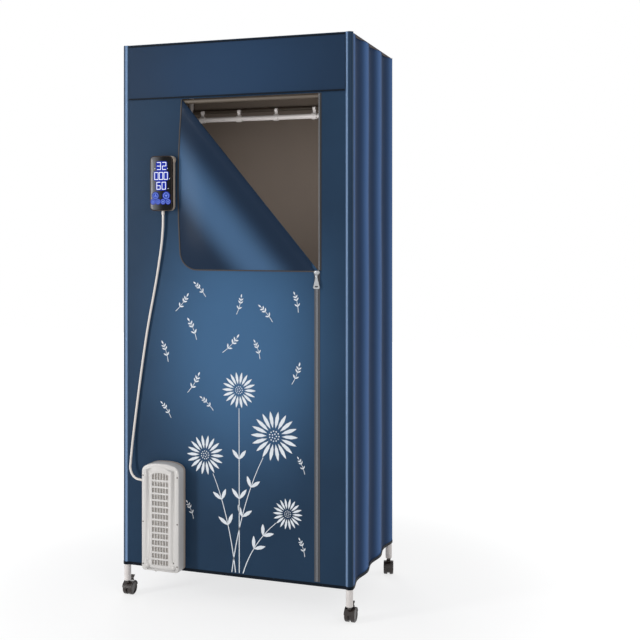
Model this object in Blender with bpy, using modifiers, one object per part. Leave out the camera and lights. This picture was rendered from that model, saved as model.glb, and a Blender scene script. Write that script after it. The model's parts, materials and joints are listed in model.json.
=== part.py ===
"""Folding clothes-drying cabinet on casters, standing unfolded, in metres.

The cabinet's front faces -Y and +Z is up. The origin lies on the floor under the middle of the
bounding box. Four legs carry cloth covers. On each side a pair of top links, which meet at the
hanging rod, and a pair of crossed arms with sliding collars fold the rear frame to the front.
"""

import math

import bmesh
import bpy
from mathutils import Matrix, Vector

# Clearances
SEAT = 0.0003
RUNNING = 0.0003
OVERRUN = 0.002

# Cabinet
CABINET_WIDTH = 0.740
CABINET_DEPTH = 0.480
CABINET_HEIGHT = 1.600
FLOOR_GAP = 0.100
FOLDED_DEPTH = 0.126
CLOTH = 0.0012
COLUMN_PROUD = 0.004
COLUMN_STEPS = 12
TOP_LIP = 0.003

# Legs and rails
LEG_RADIUS = 0.008
SOCKET_RADIUS = 0.0105
SOCKET_LENGTH = 0.088
SOCKET_EDGE = 0.002
LEG_FOOT_Z = 0.0475
CORNER_CAP_LENGTH = 0.030
LEG_STEPS = 20
RAIL_RADIUS = 0.0065
RAIL_STEPS = 16
FRONT_RAIL_DROP = 0.180
REAR_RAIL_DROP = 0.155

# Folding linkage
LINK_REST_ANGLE = math.radians(20)
PIVOT_SETBACK = 0.008
HANGING_ROD_DROP = 0.210
HANGING_ROD_RADIUS = 0.008
ROD_CLIP_WALL = 0.0024
ROD_CLIP_WIDTH = 0.016
ROD_CLIP_POST = 0.016
ROD_CLIP_POST_WIDTH = 0.009
ROD_CLIP_KNOB_RADIUS = 0.0065
ROD_CLIP_SHARES = (-0.62, -0.24, 0.14, 0.52)
ROD_BORE_DEPTH = 0.018
ARM_PIVOT_Z = 0.350
BAR_THICKNESS = 0.003
BAR_HALF_WIDTH = 0.008
LUG_REACH = 0.0135
LUG_RADIUS = 0.0055
PIN_RADIUS = 0.003
HEAD_RADIUS = 0.0055
HEAD_THICKNESS = 0.0015
PIN_STEPS = 12
BAR_STEPS = 6
COLLAR_WALL = 0.0022
COLLAR_HEIGHT = 0.030

# Casters
WHEEL_RADIUS = 0.0205
WHEEL_WIDTH = 0.0115
WHEEL_EDGE = 0.0022
HUB_CAP_RADIUS = 0.0165
HUB_CAP_RECESS = 0.0008
HUB_CAP_DOME = 0.0006
WEB_THICKNESS = 0.0074
WEB_RADIUS = 0.0165
HOOD_THICKNESS = 0.0018
HOOD_GAP = 0.0005
HOOD_START_ANGLE = math.radians(14)
HOOD_STEPS = 10
AXLE_RADIUS = 0.003
CASTER_TRAIL = 0.014
NECK_RADIUS = 0.0062
STEM_RADIUS = 0.0042
STEM_LENGTH = 0.034
WHEEL_STEPS = 20
PEDAL_BARREL_RADIUS = 0.0022
PEDAL_PIN_RADIUS = 0.0010
PEDAL_WIDTH = 0.012
PEDAL_LENGTH = 0.015
PEDAL_THICKNESS = 0.0018
PEDAL_EAR = 0.0020
PEDAL_OFFSET = 0.009
PEDAL_TILT = math.radians(38)
REAR_CASTER_TURN = math.radians(12)

# Front door opening, its folded flap and the zipper. A drop is from the cover's top edge, and an
# inset from its right side or from the opening's.
OPENING_DROP = 0.172
OPENING_HEIGHT = 0.514
OPENING_INSET = 0.1025
DIAGONAL_LEFT = 0.200
DIAGONAL_INSET = 0.0025
FLAP_LOW_LAP = 0.0063
FLAP_SIDE_BULGE = 0.009
FLAP_SIDE_STEPS = 10
FLAP_CORNER_RADIUS = 0.058
FLAP_BOTTOM_LAP = 0.005
FLAP_TIP_INSET = 0.0215
FLAP_TOP_GAP = 0.0015
FLAP_EDGE_GAP = 0.0015
FLAP_CORNER_STEPS = 8
ZIPPER_INSET = 0.0045
ZIPPER_LOW = 0.012
ZIPPER_LAP = 0.012
ZIPPER_TAPE_WIDTH = 0.017
ZIPPER_TAPE = 0.0006
ZIPPER_BEAD_WIDTH = 0.006
ZIPPER_BEAD = 0.0018
OPEN_TAPE_WIDTH = 0.008
SLIDER_LAP = 0.015
SLIDER_LENGTH = 0.014
SLIDER_WIDTH = 0.018
SLIDER_WAIST = 0.011
SLIDER_LOBE_RADIUS = 0.0048
SLIDER_THICKNESS = 0.0028
SLIDER_EAR_HEIGHT = 0.0034
SLIDER_EAR_SPACING = 0.0068
SLIDER_EAR_WIDTH = 0.0016
SLIDER_EAR_LENGTH = 0.0044
SLIDER_PIN_RADIUS = 0.0009
PULL_BARREL_RADIUS = 0.0018
PULL_LENGTH = 0.041
PULL_NECK = 0.007
PULL_HALF_WIDTH = 0.0098
PULL_CORNER_RADIUS = 0.0050
PULL_THICKNESS = 0.0012
PULL_SLOT_RADIUS = 0.0022
PULL_SLOT_REACH = 0.0030
PULL_SLOT_HEIGHT = 0.0068

# Header flap
HEADER_HEIGHT = 0.166
HEADER_THICKNESS = 0.0015
HEADER_GAP = 0.0006
HEADER_CORNER_RADIUS = 0.004
HEADER_END_GAP = 0.010

# Side covers
PLEAT_DEPTH = 0.010
PLEATS = 3
PLEAT_STEPS = 10

# Heater, from the cover's lower left corner
HEATER_CENTRE_X = 0.1505
HEATER_BOTTOM = 0.0047
HEATER_WIDTH = 0.124
HEATER_HEIGHT = 0.324
HEATER_DEPTH = 0.045
HEATER_ARCH = 0.028
HEATER_ARCH_POWER_SHARE = 0.80
HEATER_CORNER = 0.010
HEATER_EDGE = 0.004
HEATER_WALL = 0.0025
HEATER_FRONT_WALL = 0.004
HEATER_REAR_DEPTH = 0.012
ARCH_STEPS = 20
CORNER_STEPS = 4
GRILLE_WIDTH = 0.0566
GRILLE_BOTTOM = 0.0183
GRILLE_HEIGHT = 0.279
GRILLE_ARCH = 0.006
GRILLE_THICKNESS = 0.0025
GRILLE_ROWS = 14
GRILLE_COLUMNS = 6
GRILLE_RIB = 0.0056
GRILLE_BAR = 0.0024
GRILLE_FRAME = 0.0016
CHANNEL_OFFSET = 0.042
CHANNEL_WIDTH = 0.013
CHANNEL_BOTTOM = 0.030
CHANNEL_TOP = 0.303
CHANNEL_DEPTH = 0.0024
BOSS_OFFSET = 0.043
BOSS_HEIGHT = 0.0145
BOSS_RADIUS = 0.0085
BOSS_PROUD = 0.001
DUCT_WIDTH = 0.060
DUCT_HEIGHT = 0.180
DUCT_BOTTOM = 0.070
DUCT_LENGTH = 0.010
DUCT_WALL = 0.002
ELEMENT_WIDTH = 0.070
ELEMENT_HEIGHT = 0.190
ELEMENT_THICKNESS = 0.009
ELEMENT_SLOTS = 18
ELEMENT_RIM = 0.006
ELEMENT_SLOT_SHARE = 0.6
FAN_DEPTH = 0.026
FAN_RADIUS = 0.013
FAN_HUB_RADIUS = 0.005
FAN_BOTTOM = 0.060
FAN_TOP = 0.266
FAN_BLADES = 12
FAN_SHAFT_RADIUS = 0.002
FAN_SHAFT = 0.010
BEARING_THICKNESS = 0.006
BEARING_REACH = 0.008
BEARING_GRIP = 0.004
MOTOR_BOTTOM = 0.018
MOTOR_GAP = 0.003
INLET_OFFSET = 0.0225
INLET_RADIUS = 0.0075
INLET_DROP = 0.006
INLET_NECK_RADIUS = 0.005
INLET_FLANGE_RADIUS = 0.0065
INLET_FLANGE = 0.0015
INLET_BORE_RADIUS = 0.0032
INLET_BORE_DEPTH = 0.005
GLAND_HEIGHT = 0.264
GLAND_DEPTH = 0.022
GLAND_LENGTH = 0.008
GLAND_RADIUS = 0.005
GLAND_TIP_SHARE = 0.8
GLAND_NECK_RADIUS = 0.0036
GLAND_FLANGE = 0.0012

# Controller, from the cover's upper left corner
CONTROLLER_INSET = 0.1425
CONTROLLER_DROP = 0.4276
CONTROLLER_WIDTH = 0.0737
CONTROLLER_HEIGHT = 0.166
CONTROLLER_CORNER = 0.013
CONTROLLER_BACK = 0.0150
CONTROLLER_RIM = 0.0080
CONTROLLER_FACE = 0.0038
CONTROLLER_FACE_INSET = 0.0024
CONTROLLER_RECESS = 0.002
CONTROLLER_EDGE = 0.002
CONTROLLER_BUMP_RADIUS = 0.012
CONTROLLER_BUMP_PROUD = 0.003
CONTROLLER_GLAND_DEPTH = 0.009
CONTROLLER_GLAND_LENGTH = 0.012

# Cord route: x from the cover's left side and distance from its front face, at heights that are
# shares of the way from the heater's gland up to the controller
CORD_RADIUS = 0.0035
CORD_PITCH = 0.0140
CORD_ROUTE = (
    (0.1412, 0.0085),
    (0.1365, 0.0075),
    (0.1252, 0.0065),
    (0.1125, 0.0060),
    (0.0880, 0.0060),
    (0.0654, 0.0060),
    (0.0461, 0.0070),
    (0.0365, 0.0120),
    (0.0362, 0.0175),
    (0.0445, 0.0215),
)
CORD_HEIGHT_SHARES = (
    0.9350,
    0.8773,
    0.7914,
    0.7092,
    0.5595,
    0.3890,
    0.2184,
    0.0982,
    0.0405,
    0.0160,
)
CORD_STRAIGHT = 0.0065

# Sizes that follow
COLUMN_INNER = SOCKET_RADIUS + SEAT
COLUMN_RADIUS = COLUMN_INNER + CLOTH
LEG_X = CABINET_WIDTH / 2 - COLUMN_RADIUS
LEG_SPACING = CABINET_DEPTH - 2 * COLUMN_RADIUS
PANEL_FACE = COLUMN_RADIUS - COLUMN_PROUD
PANEL_BACK = PANEL_FACE - CLOTH
FRONT_REACH = PANEL_FACE + SEAT + HEATER_DEPTH + BOSS_PROUD
FRONT_Y = (FRONT_REACH - LEG_SPACING - COLUMN_RADIUS) / 2
REAR_Y = FRONT_Y + LEG_SPACING
COVER_TOP_Z = FLOOR_GAP + CABINET_HEIGHT
ROOF_TOP_Z = COVER_TOP_Z - TOP_LIP
ROOF_BOTTOM_Z = ROOF_TOP_Z - CLOTH
LEG_TOP_Z = COVER_TOP_Z - SEAT
TOP_RAIL_Z = ROOF_BOTTOM_Z - SEAT - RAIL_RADIUS
LOW_RAIL_Z = FLOOR_GAP + CLOTH + SEAT + RAIL_RADIUS
COVER_LEFT = -CABINET_WIDTH / 2
FACE_Y = FRONT_Y - PANEL_FACE
FRONT_RAIL_Z = COVER_TOP_Z - FRONT_RAIL_DROP
REAR_RAIL_Z = COVER_TOP_Z - REAR_RAIL_DROP
HANGING_ROD_Z = COVER_TOP_Z - HANGING_ROD_DROP

# On the front cover, from its lower left corner
OPENING_TOP = CABINET_HEIGHT - OPENING_DROP
OPENING_LOW = OPENING_TOP - OPENING_HEIGHT
OPENING_RIGHT = CABINET_WIDTH - OPENING_INSET
DIAGONAL_TOP = (DIAGONAL_LEFT, OPENING_TOP)
DIAGONAL_LOW = (OPENING_RIGHT - DIAGONAL_INSET, OPENING_LOW)
FLAP_LEFT_LOW = DIAGONAL_LEFT - FLAP_LOW_LAP
FLAP_BOTTOM = OPENING_LOW - FLAP_BOTTOM_LAP
FLAP_TIP = OPENING_RIGHT - FLAP_TIP_INSET
ZIPPER_X = OPENING_RIGHT - ZIPPER_INSET
SLIDER_LOW = OPENING_LOW - SLIDER_LAP
ZIPPER_HIGH = SLIDER_LOW + ZIPPER_LAP
CONTROLLER_CENTRE = (CONTROLLER_INSET, CABINET_HEIGHT - CONTROLLER_DROP)

PIVOT_SPACING = LEG_SPACING - 2 * PIVOT_SETBACK
LINK_LENGTH = PIVOT_SPACING / (2 * math.cos(LINK_REST_ANGLE))
ARM_LENGTH = 2 * LINK_LENGTH
FOLDED_SPACING = FOLDED_DEPTH - 2 * COLUMN_RADIUS - 2 * PIVOT_SETBACK
FOLD_RANGE = math.acos(FOLDED_SPACING / ARM_LENGTH) - LINK_REST_ANGLE
LINK_RISE = LINK_LENGTH * math.sin(LINK_REST_ANGLE)
LINK_PIVOT_Z = HANGING_ROD_Z - LINK_RISE
COLLAR_Z = ARM_PIVOT_Z + 2 * LINK_RISE
FRONT_PIVOT_Y = FRONT_Y + PIVOT_SETBACK
REAR_PIVOT_Y = REAR_Y - PIVOT_SETBACK
MIDDLE_Y = (FRONT_PIVOT_Y + REAR_PIVOT_Y) / 2
# Layers inboard of a leg's axis: the bars nearer the leg, then the bars beside them
NEAR_START = LUG_REACH + SEAT
NEAR_END = NEAR_START + BAR_THICKNESS
FAR_START = NEAR_END + SEAT
FAR_END = FAR_START + BAR_THICKNESS
ROD_END = FAR_END + SEAT
BORE_RADIUS = PIN_RADIUS + RUNNING
AXLE_BORE = AXLE_RADIUS + RUNNING
WHEELSET_HALF = WEB_THICKNESS / 2 + RUNNING + WHEEL_WIDTH
SLIDER_BACK = SEAT + ZIPPER_BEAD + SEAT
PULL_PIVOT = SLIDER_BACK + SLIDER_THICKNESS + RUNNING + PULL_BARREL_RADIUS


# Scene, materials and bodies
for old in list(bpy.data.objects):
    bpy.data.objects.remove(old, do_unlink=True)
parts = bpy.data.collections.new("clothes_dryer")
cutters = bpy.data.collections.new("clothes_dryer_cutters")
bpy.context.scene.collection.children.link(parts)
bpy.context.scene.collection.children.link(cutters)
cutters.hide_render = True


def material(name, colour, roughness, metallic=0.0):
    made = bpy.data.materials.new(name)
    made.use_nodes = True
    shader = made.node_tree.nodes["Principled BSDF"]
    shader.inputs["Base Color"].default_value = (*colour, 1)
    shader.inputs["Roughness"].default_value = roughness
    shader.inputs["Metallic"].default_value = metallic
    made.diffuse_color = (*colour, 1)
    return made


NAVY_CLOTH = material("navy_coated_cloth", (0.024, 0.051, 0.117), 0.55)
HEADER_CLOTH = material("header_cloth", (0.022, 0.047, 0.105), 0.55)
LEG_PAINT = material("off_white_paint", (0.80, 0.76, 0.73), 0.35)
NYLON = material("off_white_nylon", (0.78, 0.76, 0.73), 0.5)
ABS = material("white_abs", (0.72, 0.71, 0.69), 0.45)
GREY_ABS = material("grey_abs", (0.26, 0.24, 0.22), 0.5)
BLACK_NYLON = material("black_nylon", (0.024, 0.018, 0.015), 0.35)
TREAD = material("dark_tread", (0.030, 0.024, 0.021), 0.5)
ZIPPER_METAL = material("zipper_metal", (0.10, 0.10, 0.10), 0.4, 0.8)
BRIGHT_METAL = material("bright_metal", (0.60, 0.60, 0.60), 0.25, 1.0)
BEIGE_ABS = material("beige_abs", (0.40, 0.33, 0.28), 0.5)
BRONZE = material("bronze_trim", (0.10, 0.07, 0.06), 0.35, 0.6)
BLACK_GLASS = material("black_glass", (0.010, 0.010, 0.014), 0.08)
MOTOR_STEEL = material("motor_steel", (0.35, 0.35, 0.36), 0.4, 1.0)
FIN_METAL = material("aluminium_fins", (0.55, 0.56, 0.57), 0.4, 1.0)
CORD_PVC = material("cord_pvc", (0.77, 0.71, 0.67), 0.5)


def body(name, place, parent=None):
    """An empty at the origin of a moving body, on its joint's axis."""
    empty = bpy.data.objects.new(name, None)
    parts.objects.link(empty)
    empty.parent = parent
    empty["place"] = tuple(place)
    empty.location = Vector(place) - (Vector(parent["place"]) if parent else Vector())
    return empty


def frame_body(name, place, parent):
    return body(name + "_body", place, parent)


# Shapes
AXES = {
    "X": Matrix(((0, 0, 1, 0), (1, 0, 0, 0), (0, 1, 0, 0), (0, 0, 0, 1))),
    "Y": Matrix(((1, 0, 0, 0), (0, 0, -1, 0), (0, 1, 0, 0), (0, 0, 0, 1))),
    "Z": Matrix.Identity(4),
}


def new_object(name, mesh):
    made = bpy.data.objects.new(name, mesh)
    parts.objects.link(made)
    return made


def oriented(name, mesh, axis, middle):
    """The mesh, made along Z about its middle, turned to the axis and moved along it."""
    shift = Vector((0, 0, middle if axis != "Y" else -middle))
    mesh.transform(AXES[axis] @ Matrix.Translation(shift))
    return new_object(name, mesh)


def prism(name, outline, start, end, axis="Z"):
    """A closed outline, of (y, z), (x, z) or (x, y) points, run along X, Y or Z."""
    curve = bpy.data.curves.new(name, "CURVE")
    curve.dimensions, curve.fill_mode = "2D", "BOTH"
    curve.extrude = abs(end - start) / 2
    loops = outline if isinstance(outline[0][0], (tuple, list)) else [outline]
    for loop in loops:
        spline = curve.splines.new("POLY")
        spline.points.add(len(loop) - 1)
        for point, (u, v) in zip(spline.points, loop):
            point.co = (u, v, 0, 1)
        spline.use_cyclic_u = True
    made = bpy.data.objects.new(name + "_outline", curve)
    parts.objects.link(made)
    graph = bpy.context.evaluated_depsgraph_get()
    mesh = bpy.data.meshes.new_from_object(made.evaluated_get(graph))
    bpy.data.objects.remove(made)
    bpy.data.curves.remove(curve)
    bm = bmesh.new()
    bm.from_mesh(mesh)
    bmesh.ops.remove_doubles(bm, verts=bm.verts, dist=1e-6)
    bmesh.ops.recalc_face_normals(bm, faces=bm.faces)
    bm.to_mesh(mesh)
    bm.free()
    mesh.name = name
    return oriented(name, mesh, axis, (start + end) / 2)


def moulded(name, outline, start, end, axis, rounding, steps=3):
    """A prism without holes whose starting face has a rounded edge."""
    bm = bmesh.new()
    low, high = (start, end) if axis != "Y" else (-start, -end)
    face = bm.faces.new([bm.verts.new((u, v, low)) for u, v in outline])
    rim = bmesh.ops.extrude_face_region(bm, geom=[face])["geom"]
    moved = [v for v in rim if isinstance(v, bmesh.types.BMVert)]
    bmesh.ops.translate(bm, verts=moved, vec=(0, 0, high - low))
    bmesh.ops.recalc_face_normals(bm, faces=bm.faces)
    edges = [e for e in bm.edges if all(abs(v.co.z - low) < 1e-7 for v in e.verts)]
    bmesh.ops.bevel(
        bm, geom=edges, offset=rounding, segments=steps, profile=0.5, affect="EDGES"
    )
    mesh = bpy.data.meshes.new(name)
    bm.to_mesh(mesh)
    bm.free()
    return oriented(name, mesh, axis, 0)


def cylinder(name, radius, start, end, axis="Z", steps=PIN_STEPS):
    bm = bmesh.new()
    bmesh.ops.create_cone(
        bm,
        cap_ends=True,
        segments=steps,
        radius1=radius,
        radius2=radius,
        depth=abs(end - start),
    )
    mesh = bpy.data.meshes.new(name)
    bm.to_mesh(mesh)
    bm.free()
    return oriented(name, mesh, axis, (start + end) / 2)


def block(name, low, high):
    bm = bmesh.new()
    bmesh.ops.create_cube(bm, size=1)
    low, high = Vector(low), Vector(high)
    bmesh.ops.scale(bm, verts=bm.verts, vec=high - low)
    bmesh.ops.translate(bm, verts=bm.verts, vec=(low + high) / 2)
    mesh = bpy.data.meshes.new(name)
    bm.to_mesh(mesh)
    bm.free()
    return new_object(name, mesh)


def turned(name, profile, steps, axis="Z"):
    """A profile of (radius, height) points, top to bottom, turned about the axis."""
    mesh = bpy.data.meshes.new(name)
    bm = bmesh.new()
    ring = [bm.verts.new((radius, 0, height)) for radius, height in profile]
    for a, b in zip(ring, ring[1:]):
        bm.edges.new((a, b))
    bm.to_mesh(mesh)
    bm.free()
    made = new_object(name, mesh)
    screw = made.modifiers.new("turn", "SCREW")
    screw.steps = screw.render_steps = steps
    screw.use_merge_vertices = True
    screw.merge_threshold = 1e-5
    screw.use_normal_calculate = True
    graph = bpy.context.evaluated_depsgraph_get()
    solid = bpy.data.meshes.new_from_object(made.evaluated_get(graph))
    bpy.data.objects.remove(made)
    bm = bmesh.new()
    bm.from_mesh(solid)
    bmesh.ops.recalc_face_normals(bm, faces=bm.faces)
    bm.to_mesh(solid)
    bm.free()
    solid.name = name
    return oriented(name, solid, axis, 0)


def moved(made, x, y, z):
    made.data.transform(Matrix.Translation((x, y, z)))
    return made


def combine(made, tool, operation, solver="EXACT"):
    """Joins a tool to a piece or cuts it away. The tool lies in the piece's own coordinates."""
    tool.name = f"{made.name}_{tool.name}_tool"
    parts.objects.unlink(tool)
    cutters.objects.link(tool)
    tool.hide_render = True
    tool.display_type = "WIRE"
    tool.parent = made
    modifier = made.modifiers.new(operation.lower(), "BOOLEAN")
    modifier.operation = operation
    modifier.solver = solver
    modifier.object = tool
    return made


def joined(made, *tools, solver="EXACT"):
    for tool in tools:
        combine(made, tool, "UNION", solver)
    return made


def cut(made, *tools):
    for tool in tools:
        combine(made, tool, "DIFFERENCE")
    return made


def fitted(made, owner, place, paint):
    """Puts a piece on its body, at a place in the world, and gives it its material."""
    made.parent = owner
    made.location = Vector(place) - Vector(owner["place"])
    made.data.materials.clear()
    made.data.materials.append(paint)
    made.data.shade_smooth()
    made.data.set_sharp_from_angle(angle=math.radians(35))
    return made


def arc(centre, radius, start, end, steps):
    """Points on an arc from one angle to another, both included."""
    return [
        (
            centre[0] + radius * math.cos(start + (end - start) * i / steps),
            centre[1] + radius * math.sin(start + (end - start) * i / steps),
        )
        for i in range(steps + 1)
    ]


def circle(centre, radius, steps):
    return arc(centre, radius, 0, 2 * math.pi, steps)[:-1]


def capsule(a, b, radius, steps):
    """The outline round two points."""
    heading = math.atan2(b[1] - a[1], b[0] - a[0])
    half = math.pi / 2
    return arc(a, radius, heading + half, heading + 3 * half, steps) + arc(
        b, radius, heading - half, heading + half, steps
    )


def rounded(width, height, radius, centre=(0, 0), steps=CORNER_STEPS):
    """A rectangle with round corners."""
    points = []
    for k, (sx, sz) in enumerate(((1, 1), (-1, 1), (-1, -1), (1, -1))):
        middle = (
            centre[0] + sx * (width / 2 - radius),
            centre[1] + sz * (height / 2 - radius),
        )
        start = k * math.pi / 2
        points += arc(middle, radius, start, start + math.pi / 2, steps)
    return points


def plain(width, height, centre):
    half, rise = width / 2, height / 2
    return [
        (centre[0] + sx * half, centre[1] + sz * rise)
        for sx, sz in ((1, 1), (-1, 1), (-1, -1), (1, -1))
    ]


# Bodies, each at its joint
front_frame = body("front_frame_body", (0, FRONT_Y, 0))
front_links = body("front_links_body", (0, FRONT_PIVOT_Y, LINK_PIVOT_Z), front_frame)
rear_links = body("rear_links_body", (0, MIDDLE_Y, HANGING_ROD_Z), front_links)
rear_frame = body("rear_frame_body", (0, REAR_PIVOT_Y, LINK_PIVOT_Z), rear_links)
rising_arms = body("rising_arms_body", (0, FRONT_PIVOT_Y, ARM_PIVOT_Z), front_frame)
falling_arms = body(
    "falling_arms_body", (0, MIDDLE_Y, ARM_PIVOT_Z + LINK_RISE), rising_arms
)
front_collars = body("front_collars_body", (0, FRONT_PIVOT_Y, COLLAR_Z), falling_arms)
rear_collars = body("rear_collars_body", (0, REAR_PIVOT_Y, COLLAR_Z), rising_arms)


# Legs, with lugs and rivets for the links and arms
def rivet(name, reach, grip_end):
    """A pin from inside a lug through a bar, with a head beyond it, along inboard X."""
    head = grip_end + RUNNING
    return turned(
        name,
        (
            (0, head + HEAD_THICKNESS),
            (HEAD_RADIUS, head + HEAD_THICKNESS),
            (HEAD_RADIUS, head),
            (PIN_RADIUS, head),
            (PIN_RADIUS, reach - OVERRUN),
            (0, reach - OVERRUN),
        ),
        PIN_STEPS,
        "X",
    )


def mirrored(made, side):
    """The same piece for the other side: inboard is +X on the left, -X on the right."""
    if side > 0:
        made.data.transform(Matrix.Scale(-1, 4, (1, 0, 0)))
        made.data.flip_normals()
    return made


def lug(start, reach, setback, height):
    return moved(
        prism(
            "lug",
            capsule((0, 0), (setback, 0), LUG_RADIUS, BAR_STEPS),
            start,
            reach,
            "X",
        ),
        0,
        0,
        height,
    )


def lugged(made, side, start, reach, grip_end, setback, height):
    pin = moved(rivet("rivet", reach, grip_end), 0, setback, height)
    # the exact solver leaves gaps where such small rivets meet so long a leg
    return joined(
        made,
        mirrored(lug(start, reach, setback, height), side),
        mirrored(pin, side),
        solver="MANIFOLD",
    )


def leg(name, owner, side, y, setback, reach, grip_end):
    cap_low = LEG_TOP_Z - CORNER_CAP_LENGTH
    socket_top = LEG_FOOT_Z + SOCKET_LENGTH
    bore = STEM_RADIUS + RUNNING
    bore_top = LEG_FOOT_Z + STEM_LENGTH + SEAT
    made = turned(
        name,
        (
            (0, LEG_TOP_Z),
            (SOCKET_RADIUS - SOCKET_EDGE, LEG_TOP_Z),
            (SOCKET_RADIUS, LEG_TOP_Z - SOCKET_EDGE),
            (SOCKET_RADIUS, cap_low),
            (LEG_RADIUS, cap_low),
            (LEG_RADIUS, socket_top),
            (SOCKET_RADIUS, socket_top),
            (SOCKET_RADIUS, LEG_FOOT_Z + SOCKET_EDGE),
            (SOCKET_RADIUS - SOCKET_EDGE, LEG_FOOT_Z),
            (bore, LEG_FOOT_Z),
            (bore, bore_top),
            (0, bore_top),
        ),
        LEG_STEPS,
    )
    inside = LEG_RADIUS - OVERRUN
    for height in (LINK_PIVOT_Z, ARM_PIVOT_Z):
        lugged(made, side, inside, reach, grip_end, setback, height)
    return fitted(made, owner, (side * LEG_X, y, 0), LEG_PAINT)


for side, word in ((-1, "left"), (1, "right")):
    leg(
        f"front_leg_{word}",
        front_frame,
        side,
        FRONT_Y,
        PIVOT_SETBACK,
        LUG_REACH,
        NEAR_END,
    )
    leg(
        f"rear_leg_{word}", rear_frame, side, REAR_Y, -PIVOT_SETBACK, NEAR_END, FAR_END
    )


# Cross rails between the legs
def rail(name, owner, y, z, end_radius):
    half = LEG_X - end_radius - SEAT
    made = cylinder(name, RAIL_RADIUS, -half, half, "X", RAIL_STEPS)
    return fitted(made, owner, (0, y, z), LEG_PAINT)


for owner, word, y, middle_z in (
    (front_frame, "front", FRONT_Y, FRONT_RAIL_Z),
    (rear_frame, "rear", REAR_Y, REAR_RAIL_Z),
):
    rail(f"{word}_rail_top", owner, y, TOP_RAIL_Z, SOCKET_RADIUS)
    rail(f"{word}_rail_upper", owner, y, middle_z, LEG_RADIUS)
    rail(f"{word}_rail_low", owner, y, LOW_RAIL_Z, SOCKET_RADIUS)


# Top links, hanging rod and crossed arms
def bar(name, side, start, a, b, holes):
    """A flat bar between two (y, z) points, with rivet holes, in one of the two layers."""
    outline = [capsule(a, b, BAR_HALF_WIDTH, BAR_STEPS)]
    outline += [circle(hole, BORE_RADIUS, PIN_STEPS) for hole in holes]
    return mirrored(prism(name, outline, start, start + BAR_THICKNESS, "X"), side)


KNEE = (LINK_LENGTH * math.cos(LINK_REST_ANGLE), LINK_RISE)
for side, word in ((-1, "left"), (1, "right")):
    x = side * LEG_X
    link = bar(f"front_link_{word}", side, NEAR_START, (0, 0), KNEE, [(0, 0)])
    knee_pin = cylinder("knee_pin", PIN_RADIUS, NEAR_START, ROD_END + ROD_BORE_DEPTH / 2, "X")
    joined(link, mirrored(moved(knee_pin, 0, *KNEE), side))
    fitted(link, front_links, (x, FRONT_PIVOT_Y, LINK_PIVOT_Z), LEG_PAINT)

    drop = (KNEE[0], -KNEE[1])
    link = bar(f"rear_link_{word}", side, FAR_START, (0, 0), drop, [(0, 0), drop])
    fitted(link, rear_links, (x, MIDDLE_Y, HANGING_ROD_Z), LEG_PAINT)

    far = (2 * KNEE[0], 2 * KNEE[1])
    arm = bar(f"rising_arm_{word}", side, NEAR_START, (0, 0), far, [(0, 0), far])
    centre_pin = rivet("centre_rivet", NEAR_END, FAR_END)
    joined(arm, mirrored(moved(centre_pin, 0, *KNEE), side))
    fitted(arm, rising_arms, (x, FRONT_PIVOT_Y, ARM_PIVOT_Z), LEG_PAINT)

    up, down = (-KNEE[0], KNEE[1]), (KNEE[0], -KNEE[1])
    arm = bar(f"falling_arm_{word}", side, FAR_START, up, down, [up, (0, 0), down])
    fitted(arm, falling_arms, (x, MIDDLE_Y, ARM_PIVOT_Z + LINK_RISE), LEG_PAINT)

    for owner, end, y, setback, reach, grip_end in (
        (front_collars, "front", FRONT_Y, PIVOT_SETBACK, NEAR_END, FAR_END),
        (rear_collars, "rear", REAR_Y, -PIVOT_SETBACK, LUG_REACH, NEAR_END),
    ):
        bore = LEG_RADIUS + RUNNING
        ring = prism(
            f"{end}_collar_{word}",
            [
                circle((0, 0), bore + COLLAR_WALL, LEG_STEPS),
                circle((0, 0), bore, LEG_STEPS),
            ],
            -COLLAR_HEIGHT / 2,
            COLLAR_HEIGHT / 2,
        )
        lugged(ring, side, bore + COLLAR_WALL / 2, reach, grip_end, setback, 0)
        fitted(ring, owner, (x, y, COLLAR_Z), NYLON)

rod = cylinder(
    "hanging_rod",
    HANGING_ROD_RADIUS,
    -(LEG_X - ROD_END),
    LEG_X - ROD_END,
    "X",
    LEG_STEPS,
)
for side in (-1, 1):
    end = side * (LEG_X - ROD_END)
    cut(
        rod,
        cylinder(
            "end_bore",
            BORE_RADIUS,
            end - side * ROD_BORE_DEPTH,
            end + side * OVERRUN,
            "X",
        ),
    )
for share in ROD_CLIP_SHARES:
    clip_x = share * (LEG_X - ROD_END)
    clip_half = ROD_CLIP_WIDTH / 2
    post_half = ROD_CLIP_POST_WIDTH / 2
    post_top = HANGING_ROD_RADIUS + ROD_CLIP_POST
    clip = cylinder(
        "clip",
        HANGING_ROD_RADIUS + ROD_CLIP_WALL,
        clip_x - clip_half,
        clip_x + clip_half,
        "X",
    )
    post = block(
        "post",
        (clip_x - post_half, -ROD_CLIP_WALL / 2, 0),
        (clip_x + post_half, ROD_CLIP_WALL / 2, post_top),
    )
    knob = moved(
        cylinder(
            "knob",
            ROD_CLIP_KNOB_RADIUS,
            clip_x - post_half,
            clip_x + post_half,
            "X",
            PIN_STEPS // 2,
        ),
        0,
        0,
        post_top,
    )
    joined(rod, clip, post, knob)
fitted(rod, front_links, (0, MIDDLE_Y, HANGING_ROD_Z), LEG_PAINT)


# Casters
def spool_profile():
    """Two wheels and the thin axle between them, as (radius, place along the axle)."""
    inner = WEB_THICKNESS / 2 + RUNNING
    outer = WHEELSET_HALF
    cap = outer - HUB_CAP_RECESS
    half = (
        (0, cap + HUB_CAP_DOME),
        (HUB_CAP_RADIUS, cap),
        (HUB_CAP_RADIUS, outer),
        (WHEEL_RADIUS - WHEEL_EDGE, outer),
        (WHEEL_RADIUS, outer - WHEEL_EDGE),
        (WHEEL_RADIUS, inner),
        (AXLE_RADIUS, inner),
    )
    return half + tuple((radius, -place) for radius, place in reversed(half))


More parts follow.
